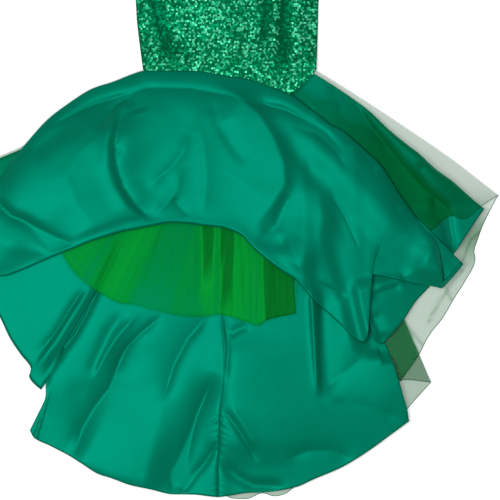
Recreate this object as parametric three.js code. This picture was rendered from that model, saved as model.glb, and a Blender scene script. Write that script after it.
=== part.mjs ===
// Mermaid costume: a strapless sequin sheath whose flared fish tail has a satin
// skirt, a net petticoat inside it and a sheer mesh over it. It lies flat on its
// back with the front of the satin turned up, inside showing.
// Units are millimetres. The drafting origin is the middle of the knee seam, with
// X to the right, Y toward the bodice and Z up from the surface it lies on.
import * as THREE from 'three';

// ---- cloth thickness and the gap kept between pieces
const SEQUIN_T = 1.5;
const SATIN_T = 1.2;
const NET_T = 1.0;
const MESH_T = 1.0;
const BAND_T = 2.0;
const SEAM_GAP = 0.4;

// ---- sheath
const KNEE_HALF = 152;        // half the flat width at the knee seam
const FRONT_SEAM_DROP = 87.5; // how far the front knee seam dips at its middle
const BACK_SEAM_DROP = 13;
const SHEATH_TOP = 800;       // knee seam to the elastic band
const BAND_HEIGHT = 32;
const SHEATH_LOFT = 3.4;      // how much the front panel stands above the back
const KNEE_STAND = 10.6;      // height of the front knee seam, over the skirt's layers

// Flat widths of the sheath: y above the knee seam, x of the left and right edge.
const SHEATH_WIDTHS = [
  { y: 0, left: -152, right: 151 },
  { y: 52, left: -159, right: 153 },
  { y: 88, left: -163, right: 154 },
  { y: 122, left: -165, right: 155 },
  { y: 200, left: -178, right: 171 },
  { y: 300, left: -200, right: 197 },
  { y: 390, left: -210, right: 209 },
  { y: 470, left: -197, right: 196 },
  { y: 570, left: -164, right: 164 },
  { y: 660, left: -178, right: 178 },
  { y: 740, left: -199, right: 199 },
  { y: 800, left: -204, right: 204 },
];

// ---- skirt: edges of the cut pieces as they lie, each a list of [x, y]
const BACK_LEFT_TOP = [
  [-108.5, -10.9], [-54.2, -12.8], [-0.3, -13.5],
];
const BACK_LEFT_SIDE = [
  [-108.5, -10.9], [-157.5, -175], [-201.2, -315], [-234.5, -390.2], [-281.8, -470.8],
  [-322, -549.5], [-322, -568.8], [-336, -602], [-350, -630],
];
const BACK_LEFT_HEM = [
  [-350, -630], [-344.8, -640.5], [-313.2, -658], [-280, -675.5], [-257.2, -689.5],
  [-232.8, -705.2], [-206.5, -714], [-178.5, -724.5], [-140, -733.2], [-105, -742],
  [-59.5, -742.9], [-38.5, -745.5], [-21.3, -747.2],
];
const BACK_RIGHT_TOP = [
  [0.3, -13.5], [63, -12.4], [127.8, -9.5],
];
const BACK_RIGHT_HEM = [
  [-20.7, -747.2], [0, -744.6], [26.2, -740.2], [63, -738.5], [96.2, -734.1], [120.8, -728],
  [143.5, -717.5], [199.5, -693], [246.8, -663.2], [280, -638.8], [313.2, -614.2],
];
const BACK_RIGHT_SIDE = [
  [127.8, -9.5], [201.2, -241.5], [271.2, -476], [278.2, -493.5], [292.2, -532], [302.8, -568.8],
  [309.8, -593.2], [313.2, -614.2],
];
const SIDE_LEFT_INNER = [
  [-110.2, -10.9], [-159.2, -175], [-203, -315], [-236.2, -390.2], [-283.5, -470.8],
  [-323.8, -546], [-332.5, -558.2],
];
const SIDE_LEFT_HEM = [
  [-332.5, -558.2], [-348.2, -544.2], [-353.5, -535.5], [-350, -523.2], [-367.5, -497],
  [-385, -470.8], [-402.5, -434], [-427, -392], [-451.5, -336], [-469, -271.2], [-479.5, -187.2],
];
const SIDE_LEFT_FOLD = [
  [-147, -7], [-204.8, -29.8], [-245, -49], [-297.5, -85.8], [-332.5, -119], [-360.5, -136.5],
  [-402.5, -154.9], [-479.5, -187.2],
];
const SIDE_LEFT_TOP = [
  [-110.2, -10.9], [-129.5, -9.1], [-147, -7],
];
const WING_LEFT_TOP = [
  [-147, -7], [-131.2, -24.9], [-112, -42.9],
];
const WING_LEFT_HEM = [
  [-479.5, -187.2], [-474.2, -236.2], [-458.5, -283.5], [-411.2, -315],
];
const WING_LEFT_INNER = [
  [-112, -42.9], [-245, -166.2], [-411.2, -315],
];
const SIDE_RIGHT_INNER = [
  [122.5, -10.5], [185.5, -236.2], [245, -446.2], [253.8, -474.2],
];
const SIDE_RIGHT_HEM = [
  [253.8, -474.2], [266, -479.5], [276.5, -469], [304.5, -435.8], [325.5, -404.2], [350, -378],
  [374.5, -346.5], [395.5, -313.2], [420, -274.8], [444.5, -243.2],
];
const SIDE_RIGHT_FOLD = [
  [147, -7], [171.5, -21.9], [199.5, -40.2], [245, -73.5], [278.2, -105], [308, -129.5],
  [330.8, -147], [357, -171.5], [390.2, -196], [423.5, -225.8], [444.5, -243.2],
];
const SIDE_RIGHT_TOP = [
  [122.5, -10.5], [136.5, -8.8], [147, -7],
];
const WING_RIGHT_TOP = [
  [147, -7], [131.2, -24.9], [112, -42.9],
];
const WING_RIGHT_HEM = [
  [444.5, -243.2], [432.2, -260.8], [414.8, -287], [393.8, -318.5], [372.8, -343],
];
const WING_RIGHT_INNER = [
  [112, -42.9], [175, -126], [271.2, -227.5], [372.8, -343],
];
const MESH_BACK_LEFT = [
  [-147, -10.5], [-231, -253.8], [-315, -542.5], [-329, -577.5],
];
const MESH_BACK_HEM = [
  [-329, -577.5], [-339.5, -626.5], [-306.2, -654.5], [-252, -686], [-203, -707], [-136.5, -726.2],
  [-59.5, -735], [-14, -740.2], [1.8, -749], [31.5, -749.9], [56, -740.2], [78.8, -745.5],
  [94.5, -742], [120.8, -722.8], [201.2, -686], [248.5, -658], [280, -630], [309.8, -593.2],
  [351.8, -546],
];
const MESH_BACK_FOLD = [
  [147, -8.8], [227.5, -220.5], [304.5, -435.8], [330.8, -497], [351.8, -546],
];
const MESH_BACK_TOP = [
  [-147, -10.5], [-87.5, -13.3], [0, -15], [87.5, -13.3], [147, -8.8],
];
const MESH_FLAP_INNER = [
  [138.2, -11.4], [210, -227.5], [262.5, -463.8], [294, -546],
];
const MESH_FLAP_TOP = [
  [147, -8.8], [138.2, -11.4],
];
const MESH_FLAP_HEM = [
  [351.8, -546], [301, -542.5], [294, -546],
];
const MESH_RIGHT_INNER = [
  [129.5, -12.2], [197.8, -227.5], [257.2, -463.8], [297.5, -545.1],
];
const MESH_RIGHT_HEM = [
  [297.5, -545.1], [330.8, -497], [343, -472.5], [351.8, -458.5], [369.2, -437.5], [395.5, -393.8],
  [411.2, -369.2], [428.8, -329], [427, -316.8], [432.2, -299.2], [441, -274.8], [449.8, -255.5],
  [469, -218.8],
];
const MESH_RIGHT_FOLD = [
  [152.2, -1.4], [201.2, -31.5], [297.5, -94.5], [385, -154], [469, -218.8],
];
const MESH_RIGHT_TOP = [
  [129.5, -12.2], [141.8, -7.4], [152.2, -1.4],
];
const MESH_OVER_RIGHT_TOP = [
  [152.2, -1.4], [138.2, -16.3], [119, -34.6],
];
const MESH_OVER_RIGHT_HEM = [
  [469, -218.8], [444.5, -234.5], [404.2, -260.8], [388.5, -255.5], [355.2, -278.2], [322, -297.5],
];
const MESH_OVER_RIGHT_INNER = [
  [119, -34.6], [168, -112], [245, -175], [288.8, -241.5], [322, -297.5],
];
const MESH_LEFT_INNER = [
  [-129.5, -13.1], [-220.5, -253.8], [-304.5, -533.8],
];
const MESH_LEFT_HEM = [
  [-304.5, -533.8], [-339.5, -514.5], [-360.5, -481.2], [-392, -427], [-418.2, -381.5],
  [-442.8, -329], [-463.8, -262.5], [-483.9, -184.6],
];
const MESH_LEFT_FOLD = [
  [-152.2, -1.4], [-206.5, -24.5], [-246.8, -42.9], [-300.1, -80.5], [-334.2, -114.6],
  [-362.2, -132.7], [-402.5, -150.5], [-483.9, -184.6],
];
const MESH_LEFT_TOP = [
  [-129.5, -13.1], [-141.8, -7.9], [-152.2, -1.4],
];
const MESH_OVER_LEFT_TOP = [
  [-152.2, -1.4], [-138.2, -16.3], [-119, -34.6],
];
const MESH_OVER_LEFT_HEM = [
  [-483.9, -184.6], [-462, -227.5], [-427, -248.5], [-388.5, -266],
];
const MESH_OVER_LEFT_INNER = [
  [-119, -34.6], [-245, -140], [-388.5, -266],
];
const NET_BACK_TOP = [
  [-94.5, -20.5], [-61.2, -21], [0, -21.9], [52.5, -21], [96.2, -18.4],
];
const NET_BACK_LEFT = [
  [-94.5, -20.5], [-115.5, -70], [-217, -171.5], [-311.5, -294],
];
const NET_BACK_HEM = [
  [-311.5, -294], [-297.5, -322], [-274.8, -357], [-255.5, -374.5], [-224, -395.5],
  [-190.8, -411.2], [-171.5, -413], [-138.2, -421.8], [-110.2, -428.8], [-75.2, -434],
  [-40.2, -434], [-21, -430.5], [17.5, -441], [35, -446.2], [49, -449.8], [66.5, -441], [91, -434],
  [117.2, -428.8],
];
const NET_BACK_RIGHT = [
  [96.2, -18.4], [112, -227.5], [119, -371], [117.2, -428.8],
];
const NET_FRONT_TOP = [
  [-101.5, -57.8], [-52.5, -84], [0, -93.6], [52.5, -84], [89.2, -65.6],
];
const NET_FRONT_LEFT = [
  [-101.5, -57.8], [-210, -175], [-301, -290.5],
];
const NET_FRONT_HEM = [
  [-301, -290.5], [-287, -315], [-266, -346.5], [-248.5, -364], [-220.5, -385], [-189, -400.8],
  [-169.8, -404.2], [-136.5, -413], [-108.5, -420], [-73.5, -425.2], [-40.2, -425.2],
  [-21, -421.8], [17.5, -428.8], [35, -435.8], [49, -439.2], [59.5, -430.5], [91, -423.5],
  [108.5, -420],
];
const NET_FRONT_RIGHT = [
  [89.2, -65.6], [103.2, -227.5], [110.2, -371], [108.5, -420],
];
const BACK_SEAM_LEFT = [
  [-0.3, -13.5], [-7, -227.5], [-14, -428.8], [-10.5, -535.5], [-17.5, -591.5], [-19.2, -654.5],
  [-21, -680.8], [-21.3, -747.2],
];
const BACK_SEAM_RIGHT = [
  [0.4, -13.5], [-6.3, -227.5], [-13.3, -428.8], [-9.8, -535.5], [-16.8, -591.5], [-18.5, -654.5],
  [-20.3, -680.8], [-20.6, -747.2],
];

// The front satin, one row for each radial line of cloth: x on the knee seam, the
// point where it folds back with the radius of that roll, and the point on its hem.
const FRONT_LINES = [
  { seamX: -117.2, foldX: -456.8, foldY: -329, roll: 2.5, hemX: -472.5, hemY: -308 },
  { seamX: -113.8, foldX: -441, foldY: -343, roll: 3.5, hemX: -469, hemY: -276.5 },
  { seamX: -110.2, foldX: -402.5, foldY: -360.5, roll: 5, hemX: -444.5, hemY: -227.5 },
  { seamX: -106.8, foldX: -367.5, foldY: -351.8, roll: 6, hemX: -402.5, hemY: -194.2 },
  { seamX: -103.2, foldX: -330.8, foldY: -336, roll: 6.5, hemX: -379.8, hemY: -159.2 },
  { seamX: -98, foldX: -302.8, foldY: -323.8, roll: 7, hemX: -360.5, hemY: -134.8 },
  { seamX: -92.8, foldX: -271.2, foldY: -311.5, roll: 7, hemX: -350, hemY: -122.5 },
  { seamX: -85.8, foldX: -250.2, foldY: -302.8, roll: 7.5, hemX: -323.8, hemY: -92.8 },
  { seamX: -77, foldX: -224, foldY: -294, roll: 8, hemX: -295.8, hemY: -69.1 },
  { seamX: -66.5, foldX: -189, foldY: -283.5, roll: 8.5, hemX: -245, hemY: -35 },
  { seamX: -54.2, foldX: -161, foldY: -278.2, roll: 9, hemX: -204.8, hemY: -21 },
  { seamX: -42, foldX: -134.8, foldY: -273, roll: 9, hemX: -152.2, hemY: -1.8 },
  { seamX: -29.8, foldX: -106.8, foldY: -267.8, roll: 9, hemX: -113.8, hemY: -1.8 },
  { seamX: -17.5, foldX: -68.2, foldY: -269.5, roll: 9, hemX: -78.8, hemY: -1.8 },
  { seamX: -3.5, foldX: -45.5, foldY: -273, roll: 9, hemX: -47.2, hemY: -3.5 },
  { seamX: 10.5, foldX: -12.2, foldY: -276.5, roll: 9, hemX: -8.8, hemY: -10.5 },
  { seamX: 22.8, foldX: 21, foldY: -290.5, roll: 9, hemX: 35, hemY: -17.5 },
  { seamX: 35, foldX: 43.8, foldY: -315, roll: 8.5, hemX: 73.5, hemY: -31.5 },
  { seamX: 47.2, foldX: 85.8, foldY: -348.2, roll: 8, hemX: 110.2, hemY: -47.2 },
  { seamX: 57.8, foldX: 115.5, foldY: -367.5, roll: 7.5, hemX: 136.5, hemY: -66.5 },
  { seamX: 66.5, foldX: 134.8, foldY: -390.2, roll: 7, hemX: 157.5, hemY: -82.2 },
  { seamX: 73.5, foldX: 152.2, foldY: -407.8, roll: 7, hemX: 175, hemY: -96.2 },
  { seamX: 78.8, foldX: 190.8, foldY: -442.8, roll: 6.5, hemX: 196, hemY: -106.8 },
  { seamX: 83.1, foldX: 213.5, foldY: -465.5, roll: 6, hemX: 217, hemY: -124.2 },
  { seamX: 86.6, foldX: 231, foldY: -476, roll: 5.5, hemX: 234.5, hemY: -140 },
  { seamX: 89.2, foldX: 239.8, foldY: -465.5, roll: 5.5, hemX: 248.5, hemY: -152.2 },
  { seamX: 91.3, foldX: 241.5, foldY: -437.5, roll: 5.5, hemX: 262.5, hemY: -166.2 },
  { seamX: 93.4, foldX: 241.5, foldY: -395.5, roll: 5.5, hemX: 278.2, hemY: -189 },
  { seamX: 95.6, foldX: 243.2, foldY: -358.8, roll: 5.5, hemX: 295.8, hemY: -217 },
  { seamX: 97.7, foldX: 266, foldY: -360.5, roll: 5, hemX: 308, hemY: -234.5 },
  { seamX: 99.4, foldX: 290.5, foldY: -365.8, roll: 4.5, hemX: 322, hemY: -255.5 },
  { seamX: 101.2, foldX: 311.5, foldY: -371, roll: 4, hemX: 336, hemY: -274.8 },
  { seamX: 102.9, foldX: 341.2, foldY: -376.2, roll: 3.5, hemX: 360.5, hemY: -302.8 },
  { seamX: 104.7, foldX: 360.5, foldY: -379.8, roll: 3, hemX: 371, hemY: -348.2 },
  { seamX: 106.4, foldX: 371, foldY: -381.5, roll: 2.6, hemX: 372.8, hemY: -367.5 },
  { seamX: 108.2, foldX: 393.8, foldY: -357, roll: 1.5, hemX: 388.5, hemY: -352.6 },
  { seamX: 109.9, foldX: 407.8, foldY: -339.5, roll: 1.4, hemX: 401.6, hemY: -336.9 },
];

// Soft ridges (up) and troughs (down): height, half width and centre line.
const FOLDS_TURNED_UP = [
  {
    rise: 7, wide: 30,
    line: [[-297.5, -96.2], [-227.5, -56], [-140, -31.5], [-70, -38.5], [-8.8, -49], [35, -73.5]],
  },
  {
    rise: -9, wide: 26,
    line: [[-204.8, -52.5], [-204.8, -140], [-196, -192.5], [-175, -236.2], [-140, -266]],
  },
  { rise: 9, wide: 32, line: [[-248.5, -70], [-252, -140], [-241.5, -218.8], [-218.8, -271.2]] },
  { rise: 12, wide: 46, line: [[-105, -87.5], [-52.5, -140], [-8.8, -192.5], [3.5, -236.2]] },
  { rise: -9, wide: 26, line: [[43.8, -59.5], [122.5, -108.5], [192.5, -154]] },
  { rise: -11, wide: 30, line: [[56, -73.5], [96.2, -131.2], [148.8, -201.2], [201.2, -288.8]] },
  { rise: 10, wide: 34, line: [[140, -122.5], [201.2, -192.5], [253.8, -271.2], [288.8, -336]] },
  { rise: 9, wide: 26, line: [[115.5, -175], [141.8, -236.2], [154, -315]] },
  {
    rise: -10, wide: 18,
    line: [[-416.5, -220.5], [-385, -253.8], [-348.2, -278.2], [-316.8, -294], [-292.2, -302.8]],
  },
  { rise: 6, wide: 26, line: [[-385, -192.5], [-332.5, -236.2], [-280, -266]] },
  { rise: 6, wide: 26, line: [[210, -402.5], [213.5, -446.2]] },
];
const FOLDS_BACK = [
  { rise: -3, wide: 16, line: [[-201.2, -336], [-234.5, -390.2], [-281.8, -470.8], [-329, -549.5]] },
  { rise: 6, wide: 30, line: [[-231, -434], [-280, -525], [-318.5, -603.8]] },
  { rise: 6, wide: 30, line: [[-157.5, -463.8], [-196, -551.2], [-241.5, -630]] },
  {
    rise: -2.5, wide: 26,
    line: [[-122.5, -446.2], [-190.8, -504], [-213.5, -535.5], [-246.8, -582.8], [-290.5, -665]],
  },
  { rise: 7, wide: 34, line: [[-91, -481.2], [-140, -577.5], [-178.5, -682.5]] },
  { rise: -2.5, wide: 22, line: [[-31.5, -551.2], [-56, -588], [-73.5, -635.2], [-96.2, -728]] },
  { rise: 5, wide: 20, line: [[-42, -577.5], [-52.5, -647.5], [-57.8, -708.8]] },
  { rise: 6, wide: 26, line: [[17.5, -577.5], [56, -647.5], [122.5, -700]] },
  { rise: 7, wide: 30, line: [[147, -455], [157.5, -542.5], [175, -612.5]] },
  { rise: 5, wide: 30, line: [[96.2, -490], [87.5, -577.5]] },
  { rise: 5, wide: 30, line: [[210, -542.5], [231, -612.5]] },
  { rise: 5, wide: 34, line: [[-350, -455], [-306.2, -402.5]] },
  { rise: 4, wide: 26, line: [[-402.5, -388.5], [-367.5, -434]] },
];
const FOLDS_WING = [
  { rise: 4, wide: 36, line: [[192.5, -52.5], [245, -96.2], [315, -154], [385, -210], [416.5, -245]] },
  {
    rise: -2.5, wide: 30,
    line: [[176.8, -45.5], [234.5, -94.5], [287, -147], [332.5, -196], [379.8, -252]],
  },
];
const SHEATH_VALLEYS = [
  { rise: -2.5, wide: 16, line: [[-131.2, 192.5], [-117.2, 122.5], [-101.5, 7]] },
  { rise: -2, wide: 16, line: [[73.5, 192.5], [66.5, 122.5], [56, 0]] },
  { rise: -1.5, wide: 24, line: [[-26.2, 472.5], [-14, 280]] },
];
const NET_WAVES = 10;    // gathers across each petticoat layer
const NET_WAVE_RISE = 0.7;
const PUFF = 16;          // how high the turned-up front stands between fold and hem

// ---- small maths
const clamp01 = (t) => Math.min(1, Math.max(0, t));
const lerp = (a, b, t) => a + (b - a) * t;

function smooth(from, to, x) {
  const t = clamp01((x - from) / (to - from));
  return t * t * (3 - 2 * t);
}

// The larger of two heights, rounded where they cross.
function softMax(a, b, r) {
  const k = clamp01(0.5 + (a - b) / (2 * r));
  return lerp(b, a, k) + r * k * (1 - k);
}

// A polyline as a function of t from 0 to 1 along its length.
function byLength(points) {
  const at = [0];
  for (let i = 1; i < points.length; i++) {
    const [x0, y0] = points[i - 1];
    const [x1, y1] = points[i];
    at.push(at[i - 1] + Math.hypot(x1 - x0, y1 - y0));
  }
  const total = at[at.length - 1];
  return (t) => {
    const s = clamp01(t) * total;
    let i = 1;
    while (i < at.length - 1 && at[i] < s) i++;
    const k = (s - at[i - 1]) / (at[i] - at[i - 1]);
    return [lerp(points[i - 1][0], points[i][0], k), lerp(points[i - 1][1], points[i][1], k)];
  };
}

// Fills the space between four edges. top and bottom run with u, start and end with v.
function coons(top, bottom, start, end) {
  const edges = [top, bottom, start, end].map(byLength);
  return (u, v) => {
    const [t, b, s, e] = [edges[0](u), edges[1](u), edges[2](v), edges[3](v)];
    const c = [edges[0](0), edges[0](1), edges[1](0), edges[1](1)];
    return [0, 1].map((k) => (
      lerp(t[k], b[k], v) + lerp(s[k], e[k], u)
      - lerp(lerp(c[0][k], c[1][k], u), lerp(c[2][k], c[3][k], u), v)
    ));
  };
}

// Distance from a polyline, positive on its left as it runs.
function sideOf(line, x, y) {
  let best = Infinity;
  let side = 1;
  for (let i = 1; i < line.length; i++) {
    const [ax, ay] = line[i - 1];
    const [dx, dy] = [line[i][0] - ax, line[i][1] - ay];
    const k = clamp01(((x - ax) * dx + (y - ay) * dy) / (dx * dx + dy * dy));
    const d = Math.hypot(x - ax - k * dx, y - ay - k * dy);
    if (d < best) {
      best = d;
      side = dx * (y - ay) - dy * (x - ax) >= 0 ? 1 : -1;
    }
  }
  return best * side;
}

function relief(folds, x, y) {
  let z = 0;
  for (const fold of folds) {
    const d = sideOf(fold.line, x, y) / fold.wide;
    z += fold.rise * Math.exp(-d * d);
  }
  return z;
}

// ---- heights of the middle of each layer above the surface it lies on
// 1 over the flat back mesh, falling to 0 outside its side edge.
const overMeshRight = (x, y) => 1 - smooth(6, 80, sideOf(MESH_BACK_FOLD, x, y));
const overMeshLeft = (x, y) => 1 - smooth(0, 60, -sideOf(MESH_BACK_LEFT, x, y));

const meshRightLow = (x, y) => 0.5 + 3.5 * overMeshRight(x, y);
const meshLeftLow = (x, y) => 0.5 + 1.4 * overMeshLeft(x, y);

// The back satin rests on one ply of mesh, and on two or three toward its sides.
function backBase(x, y) {
  if (x > 0) {
    return 1.9 + 3.7 * smooth(-80, -8, sideOf(MESH_RIGHT_INNER, x, y));
  }
  return 1.9 + 1.9 * smooth(-80, -8, -sideOf(MESH_LEFT_INNER, x, y)) * overMeshLeft(x, y);
}

// The petticoat lies in this area, so the satin under it is smooth.
function underNet(x, y) {
  const r = Math.hypot(x, y);
  return (1 - smooth(448, 485, r)) * (1 - smooth(125, 155, x));
}

function backHeight(x, y) {
  const side = smooth(-45, -8, sideOf(SIDE_RIGHT_INNER, x, y)) * smooth(-520, -488, y);
  const r = Math.hypot(x, y);
  const net = (1 - smooth(478, 525, r)) * (1 - smooth(150, 190, x));
  const open = (1 - net) * (1 - side);
  return backBase(x, y) + Math.max(0, relief(FOLDS_BACK, x, y) + 1.2) * open;
}

function sideLow(x, y) {
  return x > 0 ? 2.2 + 5.4 * overMeshRight(x, y) : backHeight(x, y);
}

function wingHeight(x, y) {
  const loft = 2.6 + 2.6 * smooth(40, 170, Math.hypot(Math.abs(x) - KNEE_HALF, y));
  return sideLow(x, y) + loft + Math.max(-0.2 * loft, relief(FOLDS_WING, x, y));
}

// The mesh over a wing comes down to the surface outside the wing's folded edge.
function meshOver(x, y) {
  const right = x > 0;
  const inside = right ? -sideOf(SIDE_RIGHT_FOLD, x, y) : sideOf(SIDE_LEFT_FOLD, x, y);
  return lerp(4.4, wingHeight(x, y) + 2.4, smooth(-42, -9, inside));
}

const netBackHeight = (x, y) => backBase(x, y) + 2.2;
const netFrontHeight = (x, y) => backBase(x, y) + 5.1;

// Under side of the turned-up front: over the petticoat, the side plies and the mesh.
function frontLow(x, y) {
  const net = backHeight(x, y) + 2.1 + 5.6 * underNet(x, y);
  const onSide = x > 0 ? smooth(-60, -6, sideOf(SIDE_RIGHT_INNER, x, y)) : 0;
  const ply = lerp(net, sideLow(x, y) + 2.0, onSide);
  const wing = x > 0
    ? smooth(-70, -8, sideOf(WING_RIGHT_INNER, x, y))
    : smooth(-70, -8, -sideOf(WING_LEFT_INNER, x, y));
  return lerp(ply, meshOver(x, y) + 2.6, wing);
}

function sheathFront(x, y) {
  const s = Math.abs(x) / (KNEE_HALF + 0.1 * Math.max(0, y));
  const dip = relief(SHEATH_VALLEYS, x, y);
  const lying = 2.8 + (SHEATH_LOFT + dip) * (1 - Math.min(1, s) ** 3);
  return lerp(KNEE_STAND, lying, smooth(-4, 70, y));
}

const frontSeamY = (x) => -FRONT_SEAM_DROP * (1 - (x / KNEE_HALF) ** 2);
const backSeamY = (x) => -BACK_SEAM_DROP * (1 - (x / KNEE_HALF) ** 2);

// ---- solids
// A wall of cloth around a grid of middle points.
function wall(grid, thickness) {
  const nu = grid.length - 1;
  const nv = grid[0].length - 1;
  const positions = [];
  const point = (i, j) => grid[Math.min(nu, Math.max(0, i))][Math.min(nv, Math.max(0, j))];
  const across = new THREE.Vector3();
  const along = new THREE.Vector3();
  for (const side of [1, -1]) {
    for (let i = 0; i <= nu; i++) {
      for (let j = 0; j <= nv; j++) {
        across.subVectors(point(i + 1, j), point(i - 1, j));
        along.subVectors(point(i, j + 1), point(i, j - 1));
        const n = across.cross(along).normalize().multiplyScalar(side * thickness / 2);
        positions.push(point(i, j).x + n.x, point(i, j).y + n.y, point(i, j).z + n.z);
      }
    }
  }
  const index = [];
  const at = (side, i, j) => side * (nu + 1) * (nv + 1) + i * (nv + 1) + j;
  const quad = (a, b, c, d) => index.push(a, b, c, a, c, d);
  for (let i = 0; i < nu; i++) {
    for (let j = 0; j < nv; j++) {
      quad(at(0, i, j), at(0, i + 1, j), at(0, i + 1, j + 1), at(0, i, j + 1));
      quad(at(1, i, j), at(1, i, j + 1), at(1, i + 1, j + 1), at(1, i + 1, j));
    }
  }
  for (let i = 0; i < nu; i++) {
    quad(at(0, i, 0), at(1, i, 0), at(1, i + 1, 0), at(0, i + 1, 0));
    quad(at(0, i + 1, nv), at(1, i + 1, nv), at(1, i, nv), at(0, i, nv));
  }
  for (let j = 0; j < nv; j++) {
    quad(at(0, 0, j + 1), at(1, 0, j + 1), at(1, 0, j), at(0, 0, j));
    quad(at(0, nu, j), at(1, nu, j), at(1, nu, j + 1), at(0, nu, j + 1));
  }
  return solid(positions, index);
}

function solid(positions, index) {
  const geometry = new THREE.BufferGeometry();
  geometry.setAttribute('position', new THREE.Float32BufferAttribute(positions, 3));
  geometry.setIndex(index);
  if (volumeOf(positions, index) < 0) {
    for (let i = 0; i < index.length; i += 3) {
      [index[i], index[i + 1]] = [index[i + 1], index[i]];
    }
    geometry.setIndex(index);
  }
  geometry.computeVertexNormals();
  return geometry;
}

function volumeOf(positions, index) {
  let six = 0;
  const corner = (k) => new THREE.Vector3().fromArray(positions, 3 * index[k]);
  for (let i = 0; i < index.length; i += 3) {
    six += corner(i).dot(corner(i + 1).cross(corner(i + 2)));
  }
  return six / 6;
}

// A flat or softly raised sheet: xy(u, v) places it and z(x, y, u, v) lifts it.
function sheet(xy, z, nu, nv) {
  const grid = [];
  for (let i = 0; i <= nu; i++) {
    const column = [];
    for (let j = 0; j <= nv; j++) {
      const [u, v] = [i / nu, j / nv];
      const [x, y] = xy(u, v);
      column.push(new THREE.Vector3(x, y, z(x, y, u, v)));
    }
    grid.push(column);
  }
  return grid;
}

// A sheet folded back on itself. low(s, u) runs to the fold at u = 1 and
// up(s, u) runs away from it; a half-round roll joins the two plies.
function foldedSheet({ low, up, zLow, zUp, along, lowCells, rollCells, upCells }) {
  const grid = [];
  for (let i = 0; i <= along; i++) {
    const s = i / along;
    const reach = (path) => {
      const [a, b] = [path(s, 0), path(s, 1)];
      return Math.hypot(a[0] - b[0], a[1] - b[1]);
    };
    const [fx, fy] = low(s, 1);
    const radius = (zUp(fx, fy, s, 0) - zLow(fx, fy, s, 1)) / 2;
    const inLow = Math.min(0.45, radius / reach(low));
    const inUp = Math.min(0.45, radius / reach(up));
    const [lx, ly] = low(s, 1 - inLow);
    const [ux, uy] = up(s, inUp);
    const zl = zLow(lx, ly, s, 1);
    const zu = zUp(ux, uy, s, 0);
    const column = [];
    for (let j = 0; j < lowCells; j++) {
      const u = (1 - inLow) * j / lowCells;
      const [x, y] = low(s, u);
      column.push(new THREE.Vector3(x, y, zLow(x, y, s, u)));
    }
    for (let k = 0; k <= rollCells; k++) {
      const turn = Math.PI * (k / rollCells - 0.5);
      const q = 1 - Math.cos(turn);
      const [x, y] = turn < 0 ? low(s, 1 - inLow * q) : up(s, inUp * q);
      column.push(new THREE.Vector3(x, y, (zl + zu) / 2 + (zu - zl) / 2 * Math.sin(turn)));
    }
    for (let j = 1; j <= upCells; j++) {
      const u = inUp + (1 - inUp) * (j / upCells) ** 1.25;
      const [x, y] = up(s, u);
      const ease = j / upCells;
      column.push(new THREE.Vector3(x, y, lerp(zu, zUp(x, y, s, u), Math.min(1, 3 * ease))));
    }
    grid.push(column);
  }
  return grid;
}

// ---- the pieces
const COLOURS = {
  sequin: { color: 0x006b3c, roughness: 0.35, metalness: 0.35 },
  satin: { color: 0x008c6c, roughness: 0.45, metalness: 0 },
  net: { color: 0x008a3a, roughness: 0.8, metalness: 0 },
  mesh: { color: 0x4f8f6a, roughness: 0.8, metalness: 0 },
  band: { color: 0x0a5c3a, roughness: 0.7, metalness: 0 },
};
const group = new THREE.Group();
group.name = 'mermaid_costume';

function add(name, geometry, finish) {
  const material = new THREE.MeshStandardMaterial(COLOURS[finish]);
  material.name = finish;
  const mesh = new THREE.Mesh(geometry, material);
  mesh.name = name;
  group.add(mesh);
}

// Sheath panels, from the knee seam up to the band.
function sheathEdge(y, key) {
  const rows = SHEATH_WIDTHS;
  let i = 1;
  while (i < rows.length - 1 && rows[i].y < y) i++;
  const k = clamp01((y - rows[i - 1].y) / (rows[i].y - rows[i - 1].y));
  return lerp(rows[i - 1][key], rows[i][key], k);
}

function sheathPanel(seamY) {
  return (u, v) => {
    const top = v * SHEATH_TOP;
    const x = lerp(sheathEdge(top, 'left'), sheathEdge(top, 'right'), u);
    const bottom = seamY(lerp(-KNEE_HALF, 151, u));
    return [x, lerp(bottom, SHEATH_TOP, v)];
  };
}

add('sequin_back', wall(sheet(sheathPanel(backSeamY), () => SEQUIN_T / 2, 6, 12), SEQUIN_T), 'sequin');
add('sequin_front', wall(sheet(sheathPanel(frontSeamY), sheathFront, 12, 18), SEQUIN_T), 'sequin');

// Elastic band: a front and a back strip above the panels.
function bandStrip(u, v) {
  const x = lerp(sheathEdge(SHEATH_TOP, 'left'), sheathEdge(SHEATH_TOP, 'right'), u);
  return [x, SHEATH_TOP + SEAM_GAP + v * BAND_HEIGHT];
}
const bandFrontHeight = (x) => 3.4 + (sheathFront(x, SHEATH_TOP) - 2.8);
add('band_back', wall(sheet(bandStrip, () => BAND_T / 2, 8, 1), BAND_T), 'band');
add('band_front', wall(sheet(bandStrip, bandFrontHeight, 12, 1), BAND_T), 'band');

// Satin back panels with the centre-back seam between them.
const backLeft = coons(BACK_LEFT_TOP, BACK_LEFT_HEM, BACK_LEFT_SIDE, BACK_SEAM_LEFT);
const backRight = coons(BACK_RIGHT_TOP, BACK_RIGHT_HEM, BACK_SEAM_RIGHT, BACK_RIGHT_SIDE);
add('satin_back_left', wall(sheet(backLeft, backHeight, 13, 14), SATIN_T), 'satin');
add('satin_back_right', wall(sheet(backRight, backHeight, 12, 14), SATIN_T), 'satin');

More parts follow.
